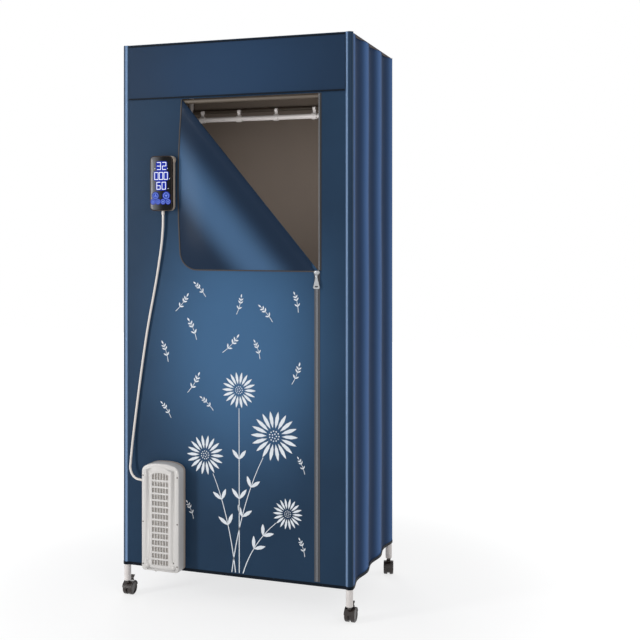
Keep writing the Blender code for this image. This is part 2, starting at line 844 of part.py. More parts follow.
HOOD_INNER = WHEEL_RADIUS + HOOD_GAP
HOOD_OUTER = HOOD_INNER + HOOD_THICKNESS
NECK_LOW = math.sqrt(HOOD_INNER**2 - (CASTER_TRAIL - NECK_RADIUS) ** 2)
NECK_TOP = LEG_FOOT_Z - SEAT - WHEEL_RADIUS
PEDAL_RISE = math.sqrt(HOOD_OUTER**2 - PEDAL_OFFSET**2) + PEDAL_BARREL_RADIUS + SEAT
PEDAL_BORE = PEDAL_PIN_RADIUS + RUNNING


def caster(word, end, owner, side, y, turn):
    """A twin-wheel caster. Its empty stands on the swivel axis and its wheels trail along +Y."""
    name = f"{end}_{word}_caster"
    place = (side * LEG_X, y, 0)
    swivel = body(f"{name}_swivel_body", place, owner)
    swivel.rotation_euler.z = turn
    axle = (0, CASTER_TRAIL, WHEEL_RADIUS)

    stop = math.pi - HOOD_START_ANGLE
    hood = prism(
        f"{name}_housing",
        arc((0, 0), HOOD_OUTER, HOOD_START_ANGLE, stop, HOOD_STEPS)
        + arc((0, 0), HOOD_INNER, stop, HOOD_START_ANGLE, HOOD_STEPS),
        -WHEELSET_HALF,
        WHEELSET_HALF,
        "X",
    )
    web_start, web_top = HOOD_START_ANGLE / 2, HOOD_INNER + HOOD_THICKNESS / 2
    web = prism(
        "web",
        [
            arc((0, 0), WEB_RADIUS, -math.pi - web_start, web_start, HOOD_STEPS)
            + arc((0, 0), web_top, web_start, math.pi - web_start, HOOD_STEPS),
            circle((0, 0), AXLE_BORE, PIN_STEPS),
        ],
        -WEB_THICKNESS / 2,
        WEB_THICKNESS / 2,
        "X",
    )
    neck = moved(
        turned(
            "neck",
            (
                (0, NECK_TOP + STEM_LENGTH),
                (STEM_RADIUS, NECK_TOP + STEM_LENGTH),
                (STEM_RADIUS, NECK_TOP),
                (NECK_RADIUS, NECK_TOP),
                (NECK_RADIUS, NECK_LOW),
                (0, NECK_LOW),
            ),
            PIN_STEPS,
        ),
        0,
        -CASTER_TRAIL,
        0,
    )
    inner = PEDAL_WIDTH / 2 + SEAT
    ears = []
    for k in (-1, 1):
        ear = prism(
            "ear",
            capsule(
                (PEDAL_OFFSET, PEDAL_RISE),
                (PEDAL_OFFSET, PEDAL_RISE - PEDAL_BARREL_RADIUS),
                PEDAL_BARREL_RADIUS,
                BAR_STEPS // 2,
            ),
            k * inner,
            k * (inner + PEDAL_EAR),
            "X",
        )
        ears.append(ear)
    pin = moved(
        cylinder(
            "pedal_pin",
            PEDAL_PIN_RADIUS,
            -inner - PEDAL_EAR / 2,
            inner + PEDAL_EAR / 2,
            "X",
            PIN_STEPS // 2,
        ),
        0,
        PEDAL_OFFSET,
        PEDAL_RISE,
    )
    joined(hood, web, neck, *ears, pin)
    housing = fitted(hood, swivel, place, BLACK_NYLON)
    housing.location = axle

    wheels = turned(f"{name}_wheels", spool_profile(), WHEEL_STEPS, "X")
    spin = bpy.data.objects.new(f"{name}_wheels_body", None)
    parts.objects.link(spin)
    spin.parent, spin.location = swivel, axle
    fitted(wheels, swivel, place, TREAD)
    wheels.parent, wheels.location = spin, (0, 0, 0)

    reach = PEDAL_LENGTH * math.cos(PEDAL_TILT), PEDAL_LENGTH * math.sin(PEDAL_TILT)
    lever = prism(
        f"{name}_pedal",
        [
            circle((0, 0), PEDAL_BARREL_RADIUS, PIN_STEPS),
            circle((0, 0), PEDAL_BORE, PIN_STEPS // 2),
        ],
        -PEDAL_WIDTH / 2,
        PEDAL_WIDTH / 2,
        "X",
    )
    root = (
        PEDAL_BARREL_RADIUS * math.cos(PEDAL_TILT),
        PEDAL_BARREL_RADIUS * math.sin(PEDAL_TILT),
    )
    plate = prism(
        "plate",
        capsule(root, reach, PEDAL_THICKNESS / 2, BAR_STEPS // 2),
        -PEDAL_WIDTH / 2,
        PEDAL_WIDTH / 2,
        "X",
    )
    joined(lever, plate)
    hinge = bpy.data.objects.new(f"{name}_pedal_body", None)
    parts.objects.link(hinge)
    hinge.parent = swivel
    hinge.location = (0, CASTER_TRAIL + PEDAL_OFFSET, WHEEL_RADIUS + PEDAL_RISE)
    fitted(lever, swivel, place, BLACK_NYLON)
    lever.parent, lever.location = hinge, (0, 0, 0)


for side, word in ((-1, "left"), (1, "right")):
    caster(word, "front", front_frame, side, FRONT_Y, 0)
    caster(word, "rear", rear_frame, side, REAR_Y, math.pi + side * REAR_CASTER_TURN)


# Cloth covers. A cover's section runs round the outer side of each leg.
def cover_section():
    """The front cover's section from above, about the middle between the front legs."""
    outer_angle = -math.asin(PANEL_FACE / COLUMN_RADIUS)
    inner_angle = -math.asin(PANEL_BACK / COLUMN_INNER)
    outer = arc((-LEG_X, 0), COLUMN_RADIUS, -math.pi, outer_angle, COLUMN_STEPS)
    inner = arc((-LEG_X, 0), COLUMN_INNER, inner_angle, -math.pi, COLUMN_STEPS)
    right_outer = [(-x, y) for x, y in reversed(outer)]
    right_inner = [(-x, y) for x, y in reversed(inner)]
    return outer + right_outer + right_inner + inner


def on_cover(u, v):
    """A place on the front cover, as X and Z in the world, from its lower left corner."""
    return (COVER_LEFT + u, FLOOR_GAP + v)


front_cover = prism("front_cover", cover_section(), FLOOR_GAP, COVER_TOP_Z)
opening = [
    on_cover(*DIAGONAL_TOP),
    on_cover(OPENING_RIGHT, DIAGONAL_TOP[1]),
    on_cover(OPENING_RIGHT, DIAGONAL_LOW[1]),
    on_cover(*DIAGONAL_LOW),
]
HEATER_X = COVER_LEFT + HEATER_CENTRE_X
HEATER_Z = FLOOR_GAP + HEATER_BOTTOM
duct_hole = plain(
    DUCT_WIDTH + 2 * SEAT,
    DUCT_HEIGHT + 2 * SEAT,
    (HEATER_X, HEATER_Z + DUCT_BOTTOM + DUCT_HEIGHT / 2),
)
cut(
    front_cover,
    prism("opening", opening, -PANEL_FACE - OVERRUN, -PANEL_BACK + OVERRUN, "Y"),
    prism("duct", duct_hole, -PANEL_FACE - OVERRUN, -PANEL_BACK + OVERRUN, "Y"),
)
fitted(front_cover, front_frame, (0, FRONT_Y, 0), NAVY_CLOTH)

rear_cover = prism(
    "rear_cover",
    [(x, -y) for x, y in reversed(cover_section())],
    FLOOR_GAP,
    COVER_TOP_Z,
)
fitted(rear_cover, rear_frame, (0, REAR_Y, 0), NAVY_CLOTH)


def side_section(side):
    """A pleated side cover's section, from the front column to the rear one."""
    length = LEG_SPACING - 2 * SEAT
    middle = (COLUMN_RADIUS + COLUMN_INNER) / 2
    count = PLEATS * PLEAT_STEPS
    line = []
    for i in range(count + 1):
        share = i / count
        fold = PLEAT_DEPTH * math.sin(PLEATS * math.pi * share) ** 2
        line.append((LEG_X + middle - fold, SEAT + length * share))
    outer = [(side * (x + CLOTH / 2), y) for x, y in line]
    inner = [(side * (x - CLOTH / 2), y) for x, y in line]
    return outer + inner[::-1]


for side, word in ((-1, "left"), (1, "right")):
    made = prism(
        f"side_cover_{word}", side_section(side), FLOOR_GAP, ROOF_BOTTOM_Z - SEAT
    )
    fitted(made, front_frame, (0, FRONT_Y, 0), NAVY_CLOTH)


def notched(wide, narrow, notch):
    """A cover between the legs whose corners are cut back round the columns."""
    front, rear = -PANEL_BACK + SEAT, LEG_SPACING + PANEL_BACK - SEAT
    quarter = [(narrow, front), (narrow, notch), (wide, notch)]
    right = quarter + [(x, LEG_SPACING - y) for x, y in reversed(quarter)]
    right[3:] = [(wide, LEG_SPACING - notch), (narrow, LEG_SPACING - notch), (narrow, rear)]
    return right + [(-x, y) for x, y in reversed(right)]


roof = prism(
    "top_cover",
    notched(
        LEG_X + COLUMN_RADIUS,
        LEG_X - COLUMN_RADIUS - SEAT,
        COLUMN_RADIUS + SEAT,
    ),
    ROOF_BOTTOM_Z,
    ROOF_TOP_Z,
)
fitted(roof, front_frame, (0, FRONT_Y, 0), NAVY_CLOTH)
floor_cover = prism(
    "bottom_cover",
    notched(
        LEG_X + COLUMN_INNER - PLEAT_DEPTH - SEAT,
        LEG_X - SOCKET_RADIUS - SEAT,
        COLUMN_RADIUS + SEAT,
    ),
    FLOOR_GAP,
    FLOOR_GAP + CLOTH,
)
fitted(floor_cover, front_frame, (0, FRONT_Y, 0), NAVY_CLOTH)

# Header flap, hinged along its top edge
HEADER_TOP_Z = ROOF_TOP_Z
HEADER_HALF = LEG_X - HEADER_END_GAP
HEADER_Y = FACE_Y - HEADER_GAP - HEADER_THICKNESS / 2
HEADER_HINGE_Z = HEADER_TOP_Z - HEADER_THICKNESS / 2
header_body = body("header_flap_body", (0, HEADER_Y, HEADER_HINGE_Z), front_frame)
low = HEADER_THICKNESS / 2 - HEADER_HEIGHT
corner = HEADER_CORNER_RADIUS
header_outline = (
    [(-HEADER_HALF, HEADER_THICKNESS / 2)]
    + arc(
        (-HEADER_HALF + corner, low + corner),
        corner,
        math.pi,
        3 * math.pi / 2,
        CORNER_STEPS,
    )
    + arc(
        (HEADER_HALF - corner, low + corner),
        corner,
        3 * math.pi / 2,
        2 * math.pi,
        CORNER_STEPS,
    )
    + [(HEADER_HALF, HEADER_THICKNESS / 2)]
)
header = prism(
    "header_flap", header_outline, -HEADER_THICKNESS / 2, HEADER_THICKNESS / 2, "Y"
)
fitted(header, header_body, (0, HEADER_Y, HEADER_HINGE_Z), HEADER_CLOTH)

# Door flap, folded down across the diagonal of the opening
FLAP_Y = FACE_Y - SEAT / 2
top, low_end = Vector(DIAGONAL_TOP), Vector(DIAGONAL_LOW)
along = (low_end - top).normalized()
away = Vector((along.y, -along.x))
if away.x > 0:
    away.negate()
flap_x, flap_z = on_cover(*DIAGONAL_TOP)
flap_body = body("door_flap_body", (flap_x, FLAP_Y, flap_z), front_frame)


def on_diagonal(share):
    return top + (low_end - top) * share + away * FLAP_EDGE_GAP


upper = on_diagonal(FLAP_TOP_GAP / (top.y - low_end.y))
tip_share = (FLAP_TIP - top.x) / (low_end.x - top.x)
lower = on_diagonal(tip_share)
corner = (FLAP_LEFT_LOW + FLAP_CORNER_RADIUS, FLAP_BOTTOM + FLAP_CORNER_RADIUS)
flap_side = []
for k in range(1, FLAP_SIDE_STEPS):
    share = k / FLAP_SIDE_STEPS
    flap_side.append(
        (
            upper.x
            + (FLAP_LEFT_LOW - upper.x) * share
            - 4 * FLAP_SIDE_BULGE * share * (1 - share),
            upper.y + (corner[1] - upper.y) * share,
        )
    )
flap_outline = (
    flap_side
    + arc(corner, FLAP_CORNER_RADIUS, math.pi, 3 * math.pi / 2, FLAP_CORNER_STEPS)
    + [(FLAP_TIP, FLAP_BOTTOM), tuple(lower), tuple(upper)]
)
flap = prism(
    "door_flap",
    [(u - top.x, v - top.y) for u, v in flap_outline],
    -SEAT / 2 - CLOTH,
    -SEAT / 2,
    "Y",
)
fitted(flap, flap_body, (flap_x, FLAP_Y, flap_z), NAVY_CLOTH)

# Zipper, with its slider and pull
half_tape, half_bead = ZIPPER_TAPE_WIDTH / 2, ZIPPER_BEAD_WIDTH / 2
closed_section = [
    (-half_tape, -SEAT),
    (-half_tape, -SEAT - ZIPPER_TAPE),
    (-half_bead, -SEAT - ZIPPER_TAPE),
    (-half_bead, -SEAT - ZIPPER_BEAD),
    (half_bead, -SEAT - ZIPPER_BEAD),
    (half_bead, -SEAT - ZIPPER_TAPE),
    (half_tape, -SEAT - ZIPPER_TAPE),
    (half_tape, -SEAT),
]
closed_run = prism(
    "zipper_closed_run",
    closed_section,
    FLOOR_GAP + ZIPPER_LOW,
    FLOOR_GAP + ZIPPER_HIGH,
)
fitted(closed_run, front_frame, (COVER_LEFT + ZIPPER_X, FACE_Y, 0), ZIPPER_METAL)
open_section = [
    (0, -SEAT),
    (0, -SEAT - ZIPPER_BEAD),
    (half_bead, -SEAT - ZIPPER_BEAD),
    (half_bead, -SEAT - ZIPPER_TAPE),
    (OPEN_TAPE_WIDTH, -SEAT - ZIPPER_TAPE),
    (OPEN_TAPE_WIDTH, -SEAT),
]
open_run = prism(
    "zipper_open_run",
    open_section,
    FLOOR_GAP + SLIDER_LOW + SLIDER_LENGTH + SEAT,
    FLOOR_GAP + DIAGONAL_TOP[1],
)
fitted(open_run, front_frame, (COVER_LEFT + OPENING_RIGHT + SEAT, FACE_Y, 0), ZIPPER_METAL)

slider_x = COVER_LEFT + ZIPPER_X
slider_z = FLOOR_GAP + SLIDER_LOW
slider_body = body("zipper_slider_body", (slider_x, FACE_Y, slider_z), front_frame)
slider = moulded(
    "zipper_slider",
    rounded(
        SLIDER_WAIST, SLIDER_LENGTH, SLIDER_WAIST / 4, (0, SLIDER_LENGTH / 2), CORNER_STEPS
    ),
    -SLIDER_BACK - SLIDER_THICKNESS,
    -SLIDER_BACK,
    "Y",
    SLIDER_THICKNESS / 4,
    2,
)
for side in (-1, 1):
    lobe = cylinder(
        "lobe",
        SLIDER_LOBE_RADIUS,
        -SLIDER_BACK - SLIDER_THICKNESS * 7 / 8,
        -SLIDER_BACK - SLIDER_THICKNESS / 8,
        "Y",
    )
    lobe_x = side * (SLIDER_WIDTH / 2 - SLIDER_LOBE_RADIUS)
    joined(slider, moved(lobe, lobe_x, 0, SLIDER_LENGTH - SLIDER_LOBE_RADIUS))
ear_gap = SLIDER_EAR_SPACING / 2
ear_z = SLIDER_EAR_LENGTH / 2
for k in (-1, 1):
    ear = prism(
        "ear",
        capsule(
            (-PULL_PIVOT + SLIDER_EAR_HEIGHT, ear_z),
            (-PULL_PIVOT, ear_z),
            PULL_BARREL_RADIUS,
            BAR_STEPS // 2,
        ),
        k * ear_gap,
        k * (ear_gap + SLIDER_EAR_WIDTH),
        "X",
    )
    joined(slider, ear)
bridge = moved(
    cylinder(
        "bridge",
        SLIDER_PIN_RADIUS,
        -ear_gap - SLIDER_EAR_WIDTH / 2,
        ear_gap + SLIDER_EAR_WIDTH / 2,
        "X",
        PIN_STEPS // 2,
    ),
    0,
    -PULL_PIVOT,
    ear_z,
)
joined(slider, bridge)
fitted(slider, slider_body, (slider_x, FACE_Y, slider_z), BRIGHT_METAL)

pull_place = (slider_x, FACE_Y - PULL_PIVOT, slider_z + ear_z)
pull_body = body("zipper_pull_body", pull_place, slider_body)
barrel_half = ear_gap - RUNNING
pull = prism(
    "zipper_pull",
    [
        circle((0, 0), PULL_BARREL_RADIUS, PIN_STEPS),
        circle((0, 0), SLIDER_PIN_RADIUS + RUNNING, PIN_STEPS // 2),
    ],
    -barrel_half,
    barrel_half,
    "X",
)
neck_high = -(SLIDER_PIN_RADIUS + RUNNING + PULL_BARREL_RADIUS) / 2
tab_low = -PULL_LENGTH
tab_high = -PULL_BARREL_RADIUS - PULL_NECK
lower_corner = (PULL_HALF_WIDTH - PULL_CORNER_RADIUS, tab_low + PULL_CORNER_RADIUS)
front_half = PULL_THICKNESS / 2
strip = block(
    "strip",
    (-barrel_half, -front_half, tab_high),
    (barrel_half, front_half, neck_high),
)
tab = prism(
    "tab",
    [
        [(-barrel_half, tab_high)]
        + arc(
            (-lower_corner[0], lower_corner[1]),
            PULL_CORNER_RADIUS,
            math.pi,
            3 * math.pi / 2,
            CORNER_STEPS,
        )
        + arc(
            lower_corner,
            PULL_CORNER_RADIUS,
            3 * math.pi / 2,
            2 * math.pi,
            CORNER_STEPS,
        )
        + [(barrel_half, tab_high)],
        capsule(
            (-PULL_SLOT_REACH, tab_low + PULL_SLOT_HEIGHT),
            (PULL_SLOT_REACH, tab_low + PULL_SLOT_HEIGHT),
            PULL_SLOT_RADIUS,
            PIN_STEPS // 2,
        ),
    ],
    -front_half,
    front_half,
    "Y",
)
joined(pull, strip, tab)
fitted(pull, pull_body, pull_place, BRIGHT_METAL)


# Heater
def arched(inset):
    """The heater's outline: round lower corners and a flattened arch on top."""
    half = HEATER_WIDTH / 2 - inset
    radius = max(HEATER_CORNER - inset, HEATER_CORNER / 5)
    low = inset
    rise = HEATER_ARCH - inset
    shoulder = HEATER_HEIGHT - HEATER_ARCH
    points = arc(
        (half - radius, low + radius), radius, -math.pi / 2, 0, CORNER_STEPS
    )
    for i in range(ARCH_STEPS + 1):
        angle = math.pi * i / ARCH_STEPS
        x = math.cos(angle)
        points.append(
            (
                math.copysign(half * abs(x) ** HEATER_ARCH_POWER_SHARE, x),
                shoulder + rise * math.sin(angle) ** HEATER_ARCH_POWER_SHARE,
            )
        )
    return points + arc(
        (-half + radius, low + radius), radius, math.pi, 3 * math.pi / 2, CORNER_STEPS
    )


def grille_outline(inset):
    """The grille's field, whose top edge is a shallow arch."""
    half, low = GRILLE_WIDTH / 2 - inset, GRILLE_BOTTOM + inset
    side_top = GRILLE_BOTTOM + GRILLE_HEIGHT - GRILLE_ARCH - inset
    points = [(-half, low), (half, low)]
    for i in range(CORNER_STEPS * 2 + 1):
        share = 1 - i / CORNER_STEPS
        points.append((half * share, side_top + GRILLE_ARCH * (1 - share**2)))
    return points


HEATER_PLACE = (HEATER_X, FACE_Y - SEAT, HEATER_Z)
seam = HEATER_REAR_DEPTH + SEAT
shell = moulded(
    "heater_front_shell", arched(0), -HEATER_DEPTH, -seam, "Y", HEATER_EDGE
)
pocket = prism(
    "pocket",
    arched(HEATER_WALL),
    -HEATER_DEPTH + HEATER_FRONT_WALL,
    -seam + OVERRUN,
    "Y",
)
window = prism(
    "window",
    grille_outline(0),
    -HEATER_DEPTH - OVERRUN,
    -HEATER_DEPTH + HEATER_FRONT_WALL + OVERRUN,
    "Y",
)
tools = [pocket, window]
for k in (-1, 1):
    ends = [
        (k * CHANNEL_OFFSET, CHANNEL_TOP - CHANNEL_WIDTH / 2),
        (k * CHANNEL_OFFSET, CHANNEL_BOTTOM + CHANNEL_WIDTH / 2),
    ]
    tools.append(
        prism(
            "channel",
            capsule(*ends, CHANNEL_WIDTH / 2, BAR_STEPS),
            -HEATER_DEPTH - OVERRUN,
            -HEATER_DEPTH + CHANNEL_DEPTH,
            "Y",
        )
    )
inlet_hole = cylinder(
    "inlet_hole",
    INLET_NECK_RADIUS + SEAT,
    -OVERRUN,
    HEATER_WALL + OVERRUN,
)
tools.append(moved(inlet_hole, -INLET_OFFSET, -FAN_DEPTH, 0))
gland_hole = cylinder(
    "gland_hole",
    GLAND_NECK_RADIUS + SEAT,
    -HEATER_WIDTH / 2 - OVERRUN,
    -HEATER_WIDTH / 2 + HEATER_WALL + OVERRUN,
    "X",
)
tools.append(moved(gland_hole, 0, -GLAND_DEPTH, GLAND_HEIGHT))
cut(shell, *tools)
for k in (-1, 1):
    boss = cylinder(
        "boss",
        BOSS_RADIUS,
        -HEATER_DEPTH - BOSS_PROUD,
        -HEATER_DEPTH + HEATER_FRONT_WALL / 2,
        "Y",
        LEG_STEPS,
    )
    joined(shell, moved(boss, k * BOSS_OFFSET, 0, BOSS_HEIGHT))
bearing_low = FAN_TOP + SEAT + RUNNING
bearing_half = GRILLE_WIDTH / 2 + BEARING_GRIP
bearing = block(
    "bearing",
    (-bearing_half, -HEATER_DEPTH + GRILLE_THICKNESS + 2 * SEAT, bearing_low),
    (bearing_half, -FAN_DEPTH + BEARING_REACH, bearing_low + BEARING_THICKNESS),
)
joined(shell, bearing)
bearing_bore = cylinder(
    "bearing_bore",
    FAN_SHAFT_RADIUS + RUNNING,
    bearing_low - OVERRUN,
    bearing_low + BEARING_THICKNESS + OVERRUN,
)
cut(shell, moved(bearing_bore, 0, -FAN_DEPTH, 0))
fitted(shell, front_frame, HEATER_PLACE, ABS)

rows = []
pitch = (GRILLE_HEIGHT - GRILLE_ARCH - 2 * GRILLE_FRAME + GRILLE_RIB) / GRILLE_ROWS
slot_height = pitch - GRILLE_RIB
span = GRILLE_WIDTH - 2 * GRILLE_FRAME + GRILLE_BAR
slot_pitch = span / GRILLE_COLUMNS
slot_width = slot_pitch - GRILLE_BAR
for row in range(GRILLE_ROWS):
    for column in range(GRILLE_COLUMNS):
        x = -span / 2 + slot_pitch * (column + 1 / 2)
        z = GRILLE_BOTTOM + GRILLE_FRAME + pitch * row + slot_height / 2
        slot = plain(slot_width, slot_height, (x, z))
        if row == GRILLE_ROWS - 1:
            # the top row follows the arch
            for i in (0, 1):
                share = slot[i][0] / (GRILLE_WIDTH / 2)
                slot[i] = (slot[i][0], slot[i][1] + GRILLE_ARCH * (1 - share**2))
        rows.append(slot)
grille = prism(
    "heater_grille",
    [grille_outline(SEAT)] + rows,
    -HEATER_DEPTH + SEAT,
    -HEATER_DEPTH + SEAT + GRILLE_THICKNESS,
    "Y",
)
fitted(grille, front_frame, HEATER_PLACE, GREY_ABS)

tray = prism("heater_rear_shell", arched(0), -HEATER_REAR_DEPTH, 0, "Y")
duct_centre = (0, DUCT_BOTTOM + DUCT_HEIGHT / 2)
tray_pocket = prism(
    "tray_pocket",
    arched(HEATER_WALL),
    -HEATER_REAR_DEPTH - OVERRUN,
    -HEATER_WALL,
    "Y",
)
duct = prism(
    "duct",
    plain(DUCT_WIDTH, DUCT_HEIGHT, duct_centre),
    -HEATER_WALL / 2,
    DUCT_LENGTH,
    "Y",
)
outlet = prism(
    "outlet",
    plain(DUCT_WIDTH - 2 * DUCT_WALL, DUCT_HEIGHT - 2 * DUCT_WALL, duct_centre),
    -HEATER_WALL - OVERRUN,
    DUCT_LENGTH + OVERRUN,
    "Y",
)
cut(joined(cut(tray, tray_pocket), duct), outlet)
fitted(tray, front_frame, HEATER_PLACE, ABS)

element_bottom = DUCT_BOTTOM + (DUCT_HEIGHT - ELEMENT_HEIGHT) / 2
element_pitch = (ELEMENT_HEIGHT - 2 * ELEMENT_RIM) / ELEMENT_SLOTS
element_outline = [
    plain(ELEMENT_WIDTH, ELEMENT_HEIGHT, (0, element_bottom + ELEMENT_HEIGHT / 2))
] + [
    plain(
        ELEMENT_WIDTH - 2 * ELEMENT_RIM,
        element_pitch * ELEMENT_SLOT_SHARE,
        (0, element_bottom + ELEMENT_RIM + element_pitch * (i + 1 / 2)),
    )
    for i in range(ELEMENT_SLOTS)
]
element_back = -HEATER_WALL - SEAT
element = prism(
    "heater_element",
    element_outline,
    element_back - ELEMENT_THICKNESS,
    element_back,
    "Y",
)
fitted(element, front_frame, HEATER_PLACE, FIN_METAL)

fan_place = (HEATER_X, HEATER_PLACE[1] - FAN_DEPTH, HEATER_Z)
fan_body = body("heater_fan_body", fan_place, front_frame)
blade_outline = []
for k in range(FAN_BLADES):
    # each blade leans forward from its root to its tip
    turn = 2 * math.pi / FAN_BLADES
    lean, edge = turn * 0.45, turn * 0.16
    for radius, angle in (
        (FAN_HUB_RADIUS, -edge),
        (FAN_RADIUS, lean - edge / 2),
        (FAN_RADIUS, lean + edge / 2),
        (FAN_HUB_RADIUS, edge),
    ):
        angle += k * turn
        blade_outline.append((radius * math.cos(angle), radius * math.sin(angle)))
rotor = prism("heater_fan_rotor", blade_outline, FAN_BOTTOM, FAN_TOP)
shaft = cylinder(
    "shaft",
    FAN_SHAFT_RADIUS,
    FAN_BOTTOM - FAN_SHAFT,
    FAN_TOP + FAN_SHAFT / 2,
)
joined(rotor, shaft)
fitted(rotor, fan_body, fan_place, GREY_ABS)

motor_radius = HEATER_DEPTH - HEATER_FRONT_WALL - FAN_DEPTH - SEAT
motor_top = FAN_BOTTOM - MOTOR_GAP
motor = cylinder("heater_motor", motor_radius, MOTOR_BOTTOM, motor_top, "Z", LEG_STEPS)
shaft_bore = cylinder(
    "shaft_bore",
    FAN_SHAFT_RADIUS + RUNNING,
    FAN_BOTTOM - FAN_SHAFT - OVERRUN,
    motor_top + OVERRUN,
)
cut(motor, shaft_bore)
fitted(motor, front_frame, fan_place, MOTOR_STEEL)

inlet_flange = HEATER_WALL + SEAT
inlet = turned(
    "heater_mains_inlet",
    (
        (0, inlet_flange + INLET_FLANGE),
        (INLET_FLANGE_RADIUS, inlet_flange + INLET_FLANGE),
        (INLET_FLANGE_RADIUS, inlet_flange),
        (INLET_NECK_RADIUS, inlet_flange),
        (INLET_NECK_RADIUS, -SEAT),
        (INLET_RADIUS, -SEAT),
        (INLET_RADIUS, -INLET_DROP / 2),
        (INLET_NECK_RADIUS, -INLET_DROP),
        (INLET_BORE_RADIUS, -INLET_DROP),
        (INLET_BORE_RADIUS, -INLET_DROP + INLET_BORE_DEPTH),
        (0, -INLET_DROP + INLET_BORE_DEPTH),
    ),
    PIN_STEPS,
)
inlet_place = (HEATER_X - INLET_OFFSET, HEATER_PLACE[1] - FAN_DEPTH, HEATER_Z)
fitted(inlet, front_frame, inlet_place, BEIGE_ABS)


def gland(name, length, wall, axis):
    """A cord gland: an inner flange, a neck through the wall and a tapered outer end."""
    return turned(
        name,
        (
            (0, wall + SEAT + GLAND_FLANGE),
            (GLAND_RADIUS, wall + SEAT + GLAND_FLANGE),
            (GLAND_RADIUS, wall + SEAT),
            (GLAND_NECK_RADIUS, wall + SEAT),
            (GLAND_NECK_RADIUS, -SEAT),
            (GLAND_RADIUS, -SEAT),
            (GLAND_RADIUS, -length * GLAND_TIP_SHARE),
            (GLAND_RADIUS * GLAND_TIP_SHARE, -length),
            (0, -length),
        ),
        PIN_STEPS,
        axis,
    )


gland_place = (
    HEATER_X - HEATER_WIDTH / 2,
    HEATER_PLACE[1] - GLAND_DEPTH,
    HEATER_Z + GLAND_HEIGHT,
)
fitted(
    gland("heater_gland", GLAND_LENGTH, HEATER_WALL, "X"),
    front_frame,
    gland_place,
    CORD_PVC,
)

# Controller
controller_x, controller_z = on_cover(*CONTROLLER_CENTRE)
controller_place = (controller_x, FACE_Y - SEAT, controller_z)
controller_outline = rounded(CONTROLLER_WIDTH, CONTROLLER_HEIGHT, CONTROLLER_CORNER)
back = moulded(
    "controller_back_shell",
    controller_outline,
    0,
    -CONTROLLER_BACK,
    "Y",
    CONTROLLER_EDGE,
    2,
)
bump_x = CONTROLLER_WIDTH / 2 + CONTROLLER_BUMP_PROUD - CONTROLLER_BUMP_RADIUS
bump_z = CONTROLLER_HEIGHT / 2 - CONTROLLER_BUMP_RADIUS
bump = cylinder(
    "bump",
    CONTROLLER_BUMP_RADIUS,
    -CONTROLLER_BACK + CONTROLLER_EDGE,
    -CONTROLLER_EDGE,
    "Y",
    LEG_STEPS,
)
joined(back, moved(bump, bump_x, 0, bump_z))
gland_floor = -CONTROLLER_HEIGHT / 2
pocket_half = GLAND_RADIUS + SEAT
gland_pocket = block(
    "gland_pocket",
    (
        -pocket_half,
        -CONTROLLER_GLAND_DEPTH - pocket_half,
        gland_floor + HEATER_WALL,
    ),
    (
        pocket_half,
        -CONTROLLER_GLAND_DEPTH + pocket_half,
        gland_floor + HEATER_WALL + GLAND_FLANGE + 2 * SEAT,
    ),
)
neck_bore = moved(
    cylinder(
        "neck_bore",
        GLAND_NECK_RADIUS + SEAT,
        gland_floor - OVERRUN,
        gland_floor + HEATER_WALL + GLAND_FLANGE,
    ),
    0,
    -CONTROLLER_GLAND_DEPTH,
    0,
)
cut(back, gland_pocket, neck_bore)
fitted(back, front_frame, controller_place, BEIGE_ABS)

rim_start = CONTROLLER_BACK + SEAT
rim = prism(
    "controller_rim",
    controller_outline,
    -rim_start - CONTROLLER_RIM,
    -rim_start,
    "Y",
)
inset = 2 * CONTROLLER_FACE_INSET
recess = prism(
    "recess",
    rounded(
        CONTROLLER_WIDTH - inset,
        CONTROLLER_HEIGHT - inset,
        CONTROLLER_CORNER - CONTROLLER_FACE_INSET,
    ),
    -rim_start - CONTROLLER_RIM - OVERRUN,
    -rim_start - CONTROLLER_RIM + CONTROLLER_RECESS,
    "Y",
)
cut(rim, recess)
fitted(rim, front_frame, controller_place, BRONZE)

face_back = -rim_start - CONTROLLER_RIM + CONTROLLER_RECESS - SEAT
face = moulded(
    "controller_face",
    rounded(
        CONTROLLER_WIDTH - inset - 2 * SEAT,
        CONTROLLER_HEIGHT - inset - 2 * SEAT,
        CONTROLLER_CORNER - CONTROLLER_FACE_INSET - SEAT,
    ),
    face_back - CONTROLLER_FACE,
    face_back,
    "Y",
    CONTROLLER_EDGE / 2,
    2,
)
fitted(face, front_frame, controller_place, BLACK_GLASS)

controller_gland = gland(
    "controller_gland", CONTROLLER_GLAND_LENGTH, HEATER_WALL, "Z"
)
controller_gland_place = (
    controller_x,
    controller_place[1] - CONTROLLER_GLAND_DEPTH,
    controller_z + gland_floor,
)
fitted(controller_gland, front_frame, controller_gland_place, CORD_PVC)


